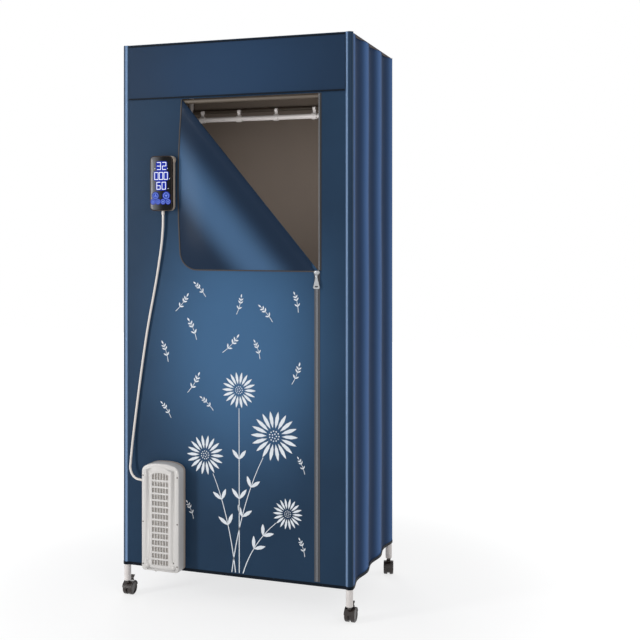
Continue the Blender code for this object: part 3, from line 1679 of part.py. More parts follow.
# Cord, read from a smooth curve through its route
def smooth(points, pitch):
    """Evenly spaced points on a Catmull-Rom curve through the given ones."""
    points = [Vector(p) for p in points]
    padded = [2 * points[0] - points[1], *points, 2 * points[-1] - points[-2]]
    fine = []
    steps = 24
    for p0, p1, p2, p3 in zip(padded, padded[1:], padded[2:], padded[3:]):
        for i in range(steps):
            t = i / steps
            fine.append(
                (
                    2 * p1
                    + (p2 - p0) * t
                    + (2 * p0 - 5 * p1 + 4 * p2 - p3) * t**2
                    + (3 * p1 - p0 - 3 * p2 + p3) * t**3
                )
                / 2
            )
    fine.append(points[-1])
    lengths = [0.0]
    for a, b in zip(fine, fine[1:]):
        lengths.append(lengths[-1] + (b - a).length)
    count = max(2, round(lengths[-1] / pitch))
    spaced, k = [], 0
    for i in range(count + 1):
        want = lengths[-1] * i / count
        while k < len(fine) - 2 and lengths[k + 1] < want:
            k += 1
        share = (want - lengths[k]) / max(lengths[k + 1] - lengths[k], 1e-9)
        spaced.append(fine[k].lerp(fine[k + 1], min(share, 1)))
    return spaced, lengths[-1]


cord_start = Vector(controller_gland_place) - Vector(
    (0, 0, CONTROLLER_GLAND_LENGTH + SEAT)
)
cord_end = Vector(gland_place) - Vector((GLAND_LENGTH + SEAT, 0, 0))
down, across = Vector((0, 0, CORD_STRAIGHT)), Vector((CORD_STRAIGHT, 0, 0))
route = [cord_start - down * i for i in range(3)]
gland_z = gland_place[2]
cord_rise = controller_z - CONTROLLER_HEIGHT / 2 - gland_z
route += [
    Vector((COVER_LEFT + u, FACE_Y - off, gland_z + cord_rise * share))
    for (u, off), share in zip(CORD_ROUTE, CORD_HEIGHT_SHARES)
]
route += [cord_end - across * i for i in (2, 1, 0)]
cord_points, cord_length = smooth(route, CORD_PITCH)
cord_curve = bpy.data.curves.new("cord", "CURVE")
cord_curve.dimensions = "3D"
cord_curve.bevel_depth = CORD_RADIUS
cord_curve.bevel_resolution = 2
cord_curve.use_fill_caps = True
cord_spline = cord_curve.splines.new("POLY")
cord_spline.points.add(len(cord_points) - 1)
for point, place in zip(cord_spline.points, cord_points):
    point.co = (*(place - Vector((0, FRONT_Y, 0))), 1)
cord = new_object("cord", cord_curve)
cord_curve.materials.append(CORD_PVC)
cord.parent = front_frame

print(f"fold range {math.degrees(FOLD_RANGE):.4f} deg, link {LINK_LENGTH:.5f} m")
print(f"cord {cord_length:.3f} m in {len(cord_points)} points")
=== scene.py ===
# %% [markdown]
# # A folding clothes dryer, dressed
# The dryer is a tall cabinet of coated cloth on a steel frame, with a fan heater low on its front
# and a touch controller beside its door. The measured model is loaded first and never changed.
# Each visible piece is then given its cloth, paint or plastic, or is made afresh round the model.

# %% Load the measured model
import json
import math

import bmesh
import bpy
from mathutils import Matrix, Vector

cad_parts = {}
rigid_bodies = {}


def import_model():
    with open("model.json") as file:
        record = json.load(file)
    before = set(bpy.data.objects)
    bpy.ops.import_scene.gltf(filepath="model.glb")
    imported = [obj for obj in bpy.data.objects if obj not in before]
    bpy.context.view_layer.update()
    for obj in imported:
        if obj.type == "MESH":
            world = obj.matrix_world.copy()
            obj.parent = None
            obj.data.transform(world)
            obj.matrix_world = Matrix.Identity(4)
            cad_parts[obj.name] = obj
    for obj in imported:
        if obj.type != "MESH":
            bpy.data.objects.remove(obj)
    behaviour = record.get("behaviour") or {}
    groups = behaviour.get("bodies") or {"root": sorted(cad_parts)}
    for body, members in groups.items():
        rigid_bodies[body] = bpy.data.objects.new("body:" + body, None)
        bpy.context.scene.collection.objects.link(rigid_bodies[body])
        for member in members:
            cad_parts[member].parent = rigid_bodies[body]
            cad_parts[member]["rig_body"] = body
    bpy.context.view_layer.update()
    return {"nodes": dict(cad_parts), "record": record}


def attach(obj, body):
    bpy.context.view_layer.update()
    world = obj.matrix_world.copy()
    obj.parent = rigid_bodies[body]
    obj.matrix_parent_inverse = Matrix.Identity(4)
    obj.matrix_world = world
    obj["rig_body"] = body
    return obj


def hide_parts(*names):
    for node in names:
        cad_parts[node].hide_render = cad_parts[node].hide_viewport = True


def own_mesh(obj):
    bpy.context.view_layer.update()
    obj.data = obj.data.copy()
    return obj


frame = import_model()


# %% [markdown]
# ## The camera
# The photograph was taken level, about 3 m away and a little to the right of the door. A level
# camera keeps upright edges upright, and its lens is shifted down to take in the casters, as an
# architect's camera does. The focal length is the one at which the front's four corners agree.

# %% Camera at the photograph's place
def placed(name, data):
    """A new object with this data, put into the scene."""
    made = bpy.data.objects.new(name, data)
    bpy.context.scene.collection.objects.link(made)
    return made


view = bpy.data.cameras.new("photo_view")
view.sensor_width = 36
view.lens = 56.25
view.shift_y = -0.1375
camera = placed("photo_view", view)
camera.location = (1.175, -2.963, 1.125)
camera.rotation_euler = (math.pi / 2, 0, math.radians(18.2))
bpy.context.scene.camera = camera


# %% [markdown]
# ## Small tools for finishes
# A finish is a small tree of nodes. Colours are written as sRGB codes, as on a paint chart, and
# one function turns them into the linear values that light is worked out in. Another function
# adds a node with its settings and its links, which keeps each finish to a few lines.

# %% Colour and node tools
def tint(code, alpha=1.0):
    """A linear colour from an sRGB hex code."""
    shares = [int(code[i : i + 2], 16) / 255 for i in (0, 2, 4)]
    linear = [s / 12.92 if s <= 0.04045 else ((s + 0.055) / 1.055) ** 2.4 for s in shares]
    return (*linear, alpha)


def add(tree, kind, settings=(), links=()):
    """Adds a shader node. Settings name its properties or sockets, and links name its sockets."""
    node = tree.nodes.new("ShaderNode" + kind)
    for name, value in dict(settings).items():
        if isinstance(name, str) and hasattr(node, name):
            setattr(node, name, value)
        else:
            node.inputs[name].default_value = value
    for name, source in dict(links).items():
        tree.links.new(source, node.inputs[name])
    return node


def finish(name, colour, roughness, metallic=0.0, **sockets):
    """A new material with one Principled shader, given back with its tree and shader."""
    made = bpy.data.materials.new(name)
    made.use_nodes = True
    shader = made.node_tree.nodes["Principled BSDF"]
    sockets |= {"Base_Color": tint(colour), "Roughness": roughness, "Metallic": metallic}
    for socket, value in sockets.items():
        shader.inputs[socket.replace("_", " ")].default_value = value
    return made, made.node_tree, shader


# %% [markdown]
# ## The cloth
# The cover is plain-woven polyester with a satin waterproof coat, dyed navy. The eye gets a deep
# blue, a soft shine and, close by, a fine weave. The weave is two sets of waves in the bump,
# drawn 1.5 mm apart, coarser than the real 0.4 mm thread so that it shows at all. The coat's
# colour is mottled at random and carries painted highlights: it is painted paler in the middle of
# the front and of the header, and a painted sheen runs along the crest of each column that is
# wrapped round a leg, along the roll of the folded door and on each side pleat.

# %% Ways to paint highlights onto cloth
WEAVE = 0.0015
WAVE_AT_SCALE_1 = 0.314  # metres from one wave of Blender's wave texture to the next


def near_point(tree, place, centre, reach, amount):
    """Rises to this amount at a point and falls to nothing at this reach along each axis."""
    moved = add(
        tree, "Mapping",
        {"vector_type": "TEXTURE", "Location": centre, "Scale": reach}, {"Vector": place},
    )
    ball = add(tree, "TexGradient", {"gradient_type": "SPHERICAL"}, {"Vector": moved.outputs[0]})
    return add(
        tree, "MapRange",
        {"interpolation_type": "SMOOTHERSTEP", "From Max": 0.95, "To Max": amount},
        {"Value": ball.outputs["Fac"]},
    ).outputs[0]


def near_plane(tree, place, normal, distance, reach, amount):
    """Rises to this amount on a plane and falls to nothing at this reach on either side."""
    along = add(tree, "VectorMath", {"operation": "DOT_PRODUCT", 1: normal}, {0: place})
    off = add(tree, "Math", {"operation": "SUBTRACT", 1: distance}, {0: along.outputs["Value"]})
    gap = add(tree, "Math", {"operation": "ABSOLUTE"}, {0: off.outputs[0]})
    return add(
        tree, "MapRange",
        {"interpolation_type": "SMOOTHERSTEP", "From Min": reach, "From Max": 0.0, "To Max": amount},
        {"Value": gap.outputs[0]},
    ).outputs[0]


def woven(
    name, deep, pale_mottle_and_highlight, roughness, depth,
    points=(), planes=(), pleats=0, painted_sheen=None, cloud=0.14, **sockets,
):
    """Coated cloth with a woven bump and random mottle, with painted highlights near points, planes and
    pleats.
    """
    made, tree, shader = finish(name, deep, roughness, **sockets)
    place = add(tree, "TexCoord").outputs["Object"]
    cloudy = add(tree, "TexNoise", {"Scale": 6.0, "Detail": 3.0}, {"Vector": place})
    share = add(
        tree, "Math", {"operation": "MULTIPLY", 1: cloud}, {0: cloudy.outputs["Fac"]}
    ).outputs[0]
    for given in points:
        more = near_point(tree, place, *given)
        share = add(tree, "Math", {"operation": "ADD"}, {0: share, 1: more}).outputs[0]
    mixed = add(tree, "Mix", {"data_type": "RGBA", 6: tint(deep), 7: tint(pale_mottle_and_highlight)}, {0: share})
    painted_sheens = [near_plane(tree, place, *given) for given in planes]
    if pleats:
        fold = add(tree, "Attribute", {"attribute_name": "painted_sheen"})
        held = add(tree, "Math", {"operation": "MULTIPLY", 1: pleats}, {0: fold.outputs["Fac"]})
        painted_sheens.append(held.outputs[0])
    for amount in painted_sheens:
        mixed = add(
            tree, "Mix", {"data_type": "RGBA", 7: tint(painted_sheen)}, {0: amount, 6: mixed.outputs[2]}
        )
    tree.links.new(mixed.outputs[2], shader.inputs["Base Color"])
    threads = []
    for direction in ("X", "Z"):
        wave = add(
            tree, "TexWave",
            {
                "bands_direction": direction, "Scale": WAVE_AT_SCALE_1 / WEAVE,
                "Distortion": 0.6, "Detail": 1.0,
            },
            {"Vector": place},
        )
        threads.append(wave.outputs["Fac"])
    cross = add(tree, "Math", {"operation": "MULTIPLY"}, {0: threads[0], 1: threads[1]})
    bump = add(tree, "Bump", {"Strength": 0.3, "Distance": depth}, {"Height": cross.outputs[0]})
    tree.links.new(bump.outputs[0], shader.inputs["Normal"])
    return made


# %% Navy coated polyester and the warm grey lining
FOLD = (Vector((-0.170, 0, 1.528)), Vector((0.265, 0, 1.014)))  # the ends of the door flap's fold
fold_way = (FOLD[1] - FOLD[0]).normalized()
fold_out = Vector((fold_way.z, 0, -fold_way.x))
fold_at = FOLD[0].dot(fold_out)
PAINTED_BAND_AT = 0.1408  # from the fold to the crest of the flap's roll
# the front is painted paler over its middle, and each column's crest a lighter blue: painted highlights
NAVY_FRONT = woven(
    "navy_satin_front", "21354b", "44698f", 0.30, 0.00012,
    points=[((0.015, -0.215, 0.79), (0.44, 0.9, 0.61), 0.88)],
    planes=[((1, 0, 0), -0.3560, 0.0072, 0.95), ((1, 0, 0), 0.3530, 0.0062, 0.85)],
    painted_sheen="7f9bc0", Specular_IOR_Level=0.08,
)
NAVY = woven(
    "navy_coated_polyester", "23385a", "34527d", 0.50, 0.00012, cloud=0.4, Specular_IOR_Level=0.03
)
# the pleat crests are painted paler: a painted highlight
NAVY_PLEAT = woven(
    "navy_pleated_polyester", "20324d", "2b456b", 0.50, 0.00012,
    pleats=0.85, painted_sheen="4d70a4", cloud=0.3, Specular_IOR_Level=0.02,
)
# a paler band runs along the flap's roll: painted highlight, on top of the roll's real shading
NAVY_FLAP = woven(
    "navy_satin_flap", "1e2d41", "1f3046", 0.30, 0.00010,
    planes=[(fold_out, fold_at + PAINTED_BAND_AT, 0.104, 0.84)], painted_sheen="4b6b8f", Specular_IOR_Level=0.06,
)
# the header is painted paler over its middle: a painted highlight
NAVY_HEADER = woven(
    "navy_polyester_doubled", "21344b", "2d4767", 0.34, 0.00012,
    points=[((0.0, -0.215, 1.60), (0.40, 0.9, 0.25), 0.5)], Specular_IOR_Level=0.08,
)
LINING = woven(
    "warm_grey_lining", "8c8077", "9b8e82", 0.7, 0.00015, cloud=0.6, Specular_IOR_Level=0.1
)
BINDING = woven("black_blue_binding", "07101a", "0c1826", 0.5, 0.00010, Specular_IOR_Level=0.1)
CLOTHS = (NAVY_FRONT, NAVY, NAVY_PLEAT, NAVY_FLAP, NAVY_HEADER, LINING, BINDING)
print("cloth finishes:", len(CLOTHS))


# %% [markdown]
# ## Paint, plastics and metals
# The tubes are steel with an off-white powder coat, which has a faint orange-peel. The heater is
# moulded ABS, near white and semi-gloss. The casters are glossy black nylon with a brown cast,
# and the zipper is stamped metal on a woven tape. Each is one Principled shader with a fine
# noise in its roughness and bump, because no moulded or painted surface is perfectly even.

# %% Hard finishes
def moulded(name, colour, roughness, grain, depth, metallic=0.0, wear=0.06, **sockets):
    """A hard finish: noise of this grain, in metres, breaks up the roughness and the surface."""
    made, tree, shader = finish(name, colour, roughness, metallic, **sockets)
    place = add(tree, "TexCoord").outputs["Object"]
    fine = add(tree, "TexNoise", {"Scale": 1 / grain, "Detail": 2.0}, {"Vector": place})
    broad = add(tree, "TexNoise", {"Scale": 14.0, "Detail": 2.0}, {"Vector": place})
    rough = add(
        tree, "MapRange", {"To Min": roughness - wear, "To Max": roughness + wear},
        {"Value": broad.outputs["Fac"]},
    )
    tree.links.new(rough.outputs[0], shader.inputs["Roughness"])
    bump = add(tree, "Bump", {"Strength": 0.3, "Distance": depth}, {"Height": fine.outputs["Fac"]})
    tree.links.new(bump.outputs[0], shader.inputs["Normal"])
    return made


POWDER_COAT = moulded("off_white_powder_coat", "e4dedb", 0.38, 0.0012, 0.00006)
# a darker taupe coat for the two upper rails: painted shade for the doorway's shade they stand in
RAIL_PAINTED_SHADE = moulded("taupe_painted_shade_coat", "5f554a", 0.5, 0.0012, 0.00006)
NYLON_WHITE = moulded("off_white_nylon", "e2ddd8", 0.45, 0.0010, 0.00005)
ABS_WHITE = moulded("white_abs", "d6d3d0", 0.36, 0.0008, 0.00004)
# tan for the heater's rear shell: painted shade for the side that the light leaves dark
SHADED_SIDE_TAN = moulded("tan_abs_painted_shade", "bcaea2", 0.40, 0.0008, 0.00004)
ABS_GREY = moulded("warm_grey_abs", "a59f98", 0.5, 0.0008, 0.00004)
ABS_BEIGE = moulded("beige_abs", "c3b4a4", 0.42, 0.0008, 0.00004)
NYLON_BLACK = moulded("black_brown_nylon", "2b2320", 0.24, 0.0010, 0.00004, wear=0.05)
TREAD = moulded("black_brown_tread", "2e2623", 0.30, 0.0012, 0.00005)
BRONZE = moulded("bronze_anodised_aluminium", "2c2420", 0.30, 0.0006, 0.00002, 0.85)
CORD_JACKET = moulded("off_white_pvc", "e6dfd9", 0.42, 0.0015, 0.00004)
ZINC = moulded("plated_zinc", "aeb0b2", 0.28, 0.0008, 0.00003, 0.75)
TAPE = moulded("zipper_tape", "45464a", 0.65, 0.0009, 0.00015)
TAPE_DARK = moulded("dark_zipper_tape", "1e1c1c", 0.6, 0.0009, 0.00012)
TEETH = moulded("zipper_teeth", "83858a", 0.38, 0.0008, 0.00003, 0.55)
TEETH_DARK = moulded("dark_zipper_teeth", "3a3330", 0.42, 0.0008, 0.00003, 0.3)
INK = moulded("white_screen_ink", "e4e9ef", 0.6, 0.0010, 0.00003, Specular_IOR_Level=0.2)
NET_WIRE = moulded("pale_nylon_net", "c6c0ba", 0.6, 0.0008, 0.00004)
STEEL = moulded("plain_steel", "8c8c8c", 0.35, 0.0010, 0.00003, 0.9)
FINS = moulded("aluminium_fins", "b4b4b4", 0.35, 0.0010, 0.00003, 0.9)
SCREW_STEEL = moulded("dull_screw_steel", "5f5853", 0.45, 0.0008, 0.00003, 0.4)
print("hard finishes:", len(bpy.data.materials) - len(CLOTHS))


# %% [markdown]
# ## Pieces
# Every new piece is a small mesh edited with Blender's own operators, then made an object that
# stands at the origin and rides on one body of the measured model. Smooth shading with sharp
# edges kept above a set angle, and along open edges, gives round tubes and crisp corners.

# %% Make a piece from an edited mesh
MERGE = 1e-6
NAVY_SLOT = "navy_coated_cloth"


def piece(name, shape, body, slot, *finishes, replaces=(), angle=40):
    """Turns an edited mesh into a shaded object that rides on a body."""
    mesh = bpy.data.meshes.new(name)
    shape.edges.index_update()
    open_edges = [edge.index for edge in shape.edges if edge.is_boundary]
    shape.to_mesh(mesh)
    shape.free()
    for given in finishes:
        mesh.materials.append(given)
    mesh.shade_smooth()
    mesh.set_sharp_from_angle(angle=math.radians(angle))
    for edge in open_edges:
        mesh.edges[edge].use_edge_sharp = True
    made = placed(name, mesh)
    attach(made, body)
    if replaces:
        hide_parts(*replaces)
    return made


def thickened(made, thickness, offset=-1.0, inner=None):
    """Gives a sheet its thickness, and the inner side its own finish."""
    wall = made.modifiers.new("thickness", "SOLIDIFY")
    wall.thickness, wall.offset = thickness, offset
    if inner:
        made.data.materials.append(inner)
        wall.material_offset = len(made.data.materials) - 1
    return made


def welded(node):
    """The mesh of a measured node with its shared corners merged."""
    shape = bmesh.new()
    shape.from_mesh(frame["nodes"][node].data)
    bmesh.ops.remove_doubles(shape, verts=shape.verts, dist=MERGE)
    return shape


def smoothed(node, *finishes, angle=32, rounding=0.0):
    """A smoothly shaded copy of a measured node, its edges rounded by a bevel if asked."""
    shape = welded(node)
    bmesh.ops.dissolve_limit(
        shape, angle_limit=math.radians(0.5), verts=shape.verts, edges=shape.edges
    )
    for face in shape.faces:
        face.material_index = 0
    body = frame["nodes"][node]["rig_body"]
    slots = {s["node"]: s["material_slot"] for s in frame["record"]["subparts"]}
    made = piece(
        f"{node}_finished", shape, body, slots[node], *finishes, replaces=[node], angle=angle
    )
    if rounding:
        edge = made.modifiers.new("rounding", "BEVEL")
        edge.width, edge.segments = rounding, 2
        edge.limit_method, edge.angle_limit = "ANGLE", math.radians(35)
        edge.use_clamp_overlap = True
    return made


# %% Shapes that the pieces start from
def steps(low, high, count):
    """Evenly spaced values from low to high, both included."""
    return [low + (high - low) * i / count for i in range(count + 1)]


def headings(line):
    """Each point of a line, with the direction that the line takes there."""
    for before, spot, after in zip([line[0], *line], line, [*line[1:], line[-1]]):
        yield spot, Vector([b - a for a, b in zip(before, after)]).normalized()


def swept_up(section, low, high):
    """A sheet that stands on a line of the floor plan."""
    shape = bmesh.new()
    feet, tops = ([shape.verts.new((x, y, z)) for x, y in section] for z in (low, high))
    for corners in zip(feet, feet[1:], tops[1:], tops):
        shape.faces.new(corners)
    return shape


def sliced(shape, across, places):
    """Cuts the mesh by planes at these distances along a direction."""
    for place in places:
        bmesh.ops.bisect_plane(
            shape, geom=shape.verts[:] + shape.edges[:] + shape.faces[:],
            plane_co=Vector(across) * place, plane_no=across, dist=MERGE,
        )


def block(shape, size, centre):
    """Adds a box of this size at a place."""
    corners = bmesh.ops.create_cube(shape, size=1)["verts"]
    bmesh.ops.scale(shape, vec=size, verts=corners)
    bmesh.ops.translate(shape, vec=centre, verts=corners)


def facing(shape, towards):
    """Turns a sheet over if its faces look away from the given direction."""
    total = sum((f.normal * f.calc_area() for f in shape.faces), Vector())
    if total.dot(Vector(towards)) < 0:
        bmesh.ops.reverse_faces(shape, faces=shape.faces)


def flat_face(shape, outline):
    """Adds one face with this outline, and turns it to the front."""
    face = shape.faces.new([shape.verts.new(spot) for spot in outline])
    face.normal_update()
    if face.normal.y > 0:
        face.normal_flip()


# %% [markdown]
# ## The cord
# A 7 mm lead joins the controller to the heater, so both of its ends go into something and its
# whole 0.85 m shows. It drops straight from its gland, hangs close to the cloth in one long
# curve, swings out past the heater's side and turns into the heater's gland. The points repeat
# the route of the measured model, and a Bezier line through them has no corners.

# %% Cord from controller to heater
CORD_LINE = (
    (-0.2275, -0.2242, 1.1771), (-0.2280, -0.2237, 1.1489), (-0.2300, -0.2230, 1.1208),
    (-0.2330, -0.2224, 1.0927), (-0.2370, -0.2220, 1.0648), (-0.2416, -0.2216, 1.0369),
    (-0.2464, -0.2213, 1.0091), (-0.2515, -0.2210, 0.9814), (-0.2569, -0.2209, 0.9537),
    (-0.2625, -0.2208, 0.9260), (-0.2682, -0.2208, 0.8984), (-0.2738, -0.2208, 0.8708),
    (-0.2792, -0.2208, 0.8431), (-0.2842, -0.2208, 0.8153), (-0.2890, -0.2208, 0.7875),
    (-0.2935, -0.2208, 0.7596), (-0.2979, -0.2208, 0.7318), (-0.3022, -0.2208, 0.7039),
    (-0.3064, -0.2209, 0.6760), (-0.3105, -0.2209, 0.6480), (-0.3144, -0.2210, 0.6201),
    (-0.3182, -0.2212, 0.5921), (-0.3219, -0.2215, 0.5642), (-0.3253, -0.2222, 0.5362),
    (-0.3284, -0.2233, 0.5081), (-0.3311, -0.2248, 0.4801), (-0.3333, -0.2267, 0.4520),
    (-0.3347, -0.2293, 0.4240), (-0.3329, -0.2333, 0.3961), (-0.3162, -0.2370, 0.3752),
    (-0.2898, -0.2371, 0.3687),
)
CORD_THICK = 0.007
cord_data = bpy.data.curves.new("cord_line", "CURVE")
cord_data.dimensions = "3D"
cord_data.bevel_depth = CORD_THICK / 2
cord_data.bevel_resolution = 5
cord_data.resolution_u = 8
cord_data.use_fill_caps = True
run = cord_data.splines.new("BEZIER")
run.bezier_points.add(len(CORD_LINE) - 1)
for knot, spot in zip(run.bezier_points, CORD_LINE):
    knot.co = spot
    knot.handle_left_type = knot.handle_right_type = "AUTO"
cord_data.materials.append(CORD_JACKET)
cord = placed("cord_line", cord_data)
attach(cord, "front_frame")
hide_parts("cord")
glands = [smoothed(node, CORD_JACKET) for node in ("controller_gland", "heater_gland")]

# %% [markdown]
# ## The frame that shows
# The legs, rails, links, arms and rod keep their measured shapes. Their round faces are shaded
# smooth and they get the powder coat. The two upper rails get a darker taupe coat instead, which
# is painted shade for the doorway's shade they stand in, and the sliding collars are white nylon.

# %% Tubes, links and collars
KINDS = ("_leg_", "_rail_", "_link_", "_arm_")
PAINTED = [n for n in frame["nodes"] if any(kind in n for kind in KINDS)] + ["hanging_rod"]
for node in PAINTED:
    # the upper rails take the darker coat, which is painted shade
    smoothed(node, RAIL_PAINTED_SHADE if node.endswith("_rail_upper") else POWDER_COAT)
for node in [n for n in frame["nodes"] if "_collar_" in n]:
    smoothed(node, NYLON_WHITE, rounding=0.0006)
print("painted tubes and bars:", len(PAINTED))

# %% [markdown]
# ## Front cover
# The front is one sheet of cloth stretched between the front legs and wrapped round each of them,
# so a column stands 4 mm proud at either side. It is drawn as its line on the floor plan,
# extruded up, cut by planes into rows, and then the door opening and the heater's duct hole are
# cut by planes too. A Solidify modifier gives it the thickness of cloth with its lining inside.

# %% Sizes of the covers
LEG_X, FRONT_Y, REAR_Y = 0.358, -0.20685, 0.24915
COLUMN, PANEL = 0.012, 0.008
FACE_Y = FRONT_Y - PANEL
LOW_Z, TOP_Z = 0.100, 1.700
CLOTH, HEM_CLOTH = 0.0012, 0.0006
HEM_GAP = 0.0003  # how far a hem stands off the cloth that it binds
HEM_LOW, HEM_HIGH = LOW_Z - 0.0005, LOW_Z + 0.0085
CREASE = math.asin(PANEL / COLUMN)


def cover_line(leg_y, out, grow=0.0, count=18):
    """The floor-plan line of a cover: round one leg's outer side, across, and round the other."""
    radius = COLUMN + grow
    angles = steps(-math.pi, -CREASE, count)
    left = [(-LEG_X + radius * math.cos(a), leg_y - out * radius * math.sin(a)) for a in angles]
    middle = [(x, leg_y + out * (PANEL + grow)) for x in steps(-LEG_X + 0.02, LEG_X - 0.02, 22)]
    return left + middle + [(-x, y) for x, y in reversed(left)]


def hemmed(name, line, body, out):
    """A thin dark binding round a cover's lower edge."""
    shape = swept_up(line, HEM_LOW, HEM_HIGH)
    facing(shape, (0, out, 0))
    return thickened(piece(name, shape, body, NAVY_SLOT, BINDING, angle=60), HEM_CLOTH, 0.0)


def sewn(node, shape, body, towards, given, slot=NAVY_SLOT, angle=60, thickness=CLOTH, inner=LINING):
    """The cloth that replaces a measured sheet, given back with its flat area."""
    facing(shape, towards)
    area = sum(f.calc_area() for f in shape.faces)
    made = piece(f"{node}_cloth", shape, body, slot, given, replaces=[node], angle=angle)
    thickened(made, thickness, -1.0, inner)
    print(node, "is", round(area, 3), "m2")
    return made, area


# %% Where the front is cut
DOOR_LOW, DOOR_HIGH, DOOR_RIGHT = 1.014, 1.528, 0.2675
DUCT = ((-0.2498, -0.1892), (0.1743, 0.3551))


def in_opening(spot):
    """Whether a point of the front is inside the door opening or the duct hole."""
    past_fold = (spot.dot(fold_out) - fold_at) < 0
    door = past_fold and spot.x < DOOR_RIGHT and DOOR_LOW < spot.z < DOOR_HIGH
    duct = DUCT[0][0] < spot.x < DUCT[0][1] and DUCT[1][0] < spot.z < DUCT[1][1]
    return (door or duct) and spot.y < FRONT_Y


# %% Front cover with its opening
shape = swept_up(cover_line(FRONT_Y, -1), LOW_Z, TOP_Z)
sliced(shape, (0, 0, 1), steps(LOW_Z, TOP_Z, 32)[1:-1] + [DOOR_LOW, DOOR_HIGH, *DUCT[1]])
sliced(shape, (1, 0, 0), [DOOR_RIGHT, *DUCT[0]])
sliced(shape, fold_out, [fold_at])
holes = [f for f in shape.faces if in_opening(f.calc_center_median())]
bmesh.ops.delete(shape, geom=holes, context="FACES")
front_cover, front_area = sewn(
    "front_cover", shape, "front_frame", (0, -1, 0), NAVY_FRONT, angle=28
)
front_hem = hemmed("front_hem", cover_line(FRONT_Y, -1, HEM_GAP), "front_frame", -1)

# %% [markdown]
# ## The screen print
# The lower front carries a print in white ink. It is drawn here from plain plant forms: four
# open daisies, each a ring of slender petals round a dotted heart, on leafy stalks that rise
# from one clump, and sprigs of paired leaves that drift above them. All of it is flat ink,
# 0.3 mm in front of the cloth, and it keeps clear of the zipper and the heater.

# %% Ink strokes, leaves and daisies
ink = bmesh.new()
INK_Y = FACE_Y - 0.0003
LEAF = ((0, 0), (0.3, 0.42), (0.6, 0.5), (0.85, 0.26), (1, 0), (0.85, -0.26), (0.6, -0.5), (0.3, -0.42))


def inked(points):
    """One patch of ink with this outline, facing forward."""
    flat_face(ink, [(x, INK_Y, z) for x, z in points])


def stroke(line, start, end):
    """A line of ink that changes from one width to another."""
    rows = []
    for i, ((x, z), way) in enumerate(headings(line)):
        half = (start + (end - start) * i / (len(line) - 1)) / 2
        rows.append(((x - way.y * half, z + way.x * half), (x + way.y * half, z - way.x * half)))
    for a, b in zip(rows, rows[1:]):
        inked((a[0], a[1], b[1], b[0]))


def leaf(x, z, turn, length, width):
    """A pointed leaf that starts at a place and lies along an angle."""
    way, side = (math.cos(turn), math.sin(turn)), (-math.sin(turn), math.cos(turn))
    inked([
        (x + way[0] * u * length + side[0] * v * width, z + way[1] * u * length + side[1] * v * width)
        for u, v in LEAF
    ])


def round_the(x, z, reach, count):
    """Places and directions spread evenly on a circle."""
    for turn in steps(0, 2 * math.pi, count)[:-1]:
        yield x + reach * math.cos(turn), z + reach * math.sin(turn), turn


def daisy(x, z, radius, petals=18):
    """A ring of slender petals round a heart of small dots."""
    for px, pz, turn in round_the(x, z, radius * 0.32, petals):
        leaf(px, pz, turn, radius * 0.68, radius * 0.15)
    for reach, count in ((0.20, 11), (0.09, 5)):
        for px, pz, _ in round_the(x, z, radius * reach, count):
            inked([spot[:2] for spot in round_the(px, pz, radius * 0.030, 6)])


def sprig(x, z, turn, length, pairs=3):
    """A short twig with paired leaves and one at its tip."""
    bend = [turn + 0.35 * (s - 0.5) for s in steps(0, 1, 6)]
    line = [(x, z)]
    for a in bend[:-1]:
        px, pz = line[-1]
        line.append((px + length / 6 * math.cos(a), pz + length / 6 * math.sin(a)))
    stroke(line, 0.0018, 0.0010)
    for k in range(pairs):
        spot, way = line[6 - 2 * k if k else 5], bend[5 - k]
        for side in (-1, 1):
            leaf(*spot, way + side * 0.75, length * (0.20 + 0.02 * k), length * 0.075)
    leaf(*line[-1], bend[-1], length * 0.22, length * 0.08)


# %% The print
HEADS = (
    ((0.130, 0.525), 0.074), ((-0.092, 0.455), 0.060), ((0.018, 0.655), 0.054), ((0.172, 0.300), 0.046)
)
for k, (centre, radius) in enumerate(HEADS):
    daisy(*centre, radius)
    base = (-0.005 + 0.012 * k, 0.112)
    pull = (base[0] + (centre[0] - base[0]) * 0.25, base[1] + (centre[1] - base[1]) * 0.6)
    curve = [
        tuple(base[i] * (1 - s) ** 2 + 2 * pull[i] * s * (1 - s) + centre[i] * s * s for i in (0, 1))
        for s in steps(0, 1, 14)
    ]
    way = Vector((centre[0] - base[0], centre[1] - base[1])).normalized()
    clear = [spot for spot in curve if (Vector(spot) - Vector(centre)).length > radius]
    tip = Vector(centre) + (Vector(clear[-1]) - Vector(centre)).normalized() * radius
    stroke(clear[:-1] + [tuple(tip)], 0.0030, 0.0018)
    for i in (5, 8):
        for side in (-1, 1):
            leaf(*curve[i], math.atan2(way.y, way.x) + side * 0.65, 0.044 - 0.001 * i, 0.011)
for x, z, turn, length in (
    (-0.205, 0.560, 2.2, 0.050), (-0.150, 0.640, 1.0, 0.062), (-0.215, 0.730, 1.9, 0.056),
    (-0.065, 0.590, 2.4, 0.050), (-0.035, 0.765, 0.8, 0.064), (0.085, 0.750, 1.9, 0.050),
    (0.185, 0.680, 1.2, 0.058), (-0.120, 0.800, 2.0, 0.060), (0.125, 0.860, 2.3, 0.056),
    (0.010, 0.880, 1.3, 0.052), (-0.190, 0.885, 0.9, 0.058), (0.205, 0.890, 1.8, 0.052),
    (-0.090, 0.930, 2.3, 0.050), (0.225, 0.420, 2.0, 0.046), (-0.130, 0.260, 2.0, 0.050),
    (0.225, 0.180, 1.9, 0.048),
):
    sprig(x, z, turn, length)
print("print of", len(ink.faces), "patches of ink")
front_print = piece("front_print", ink, "front_frame", NAVY_SLOT, INK, angle=60)

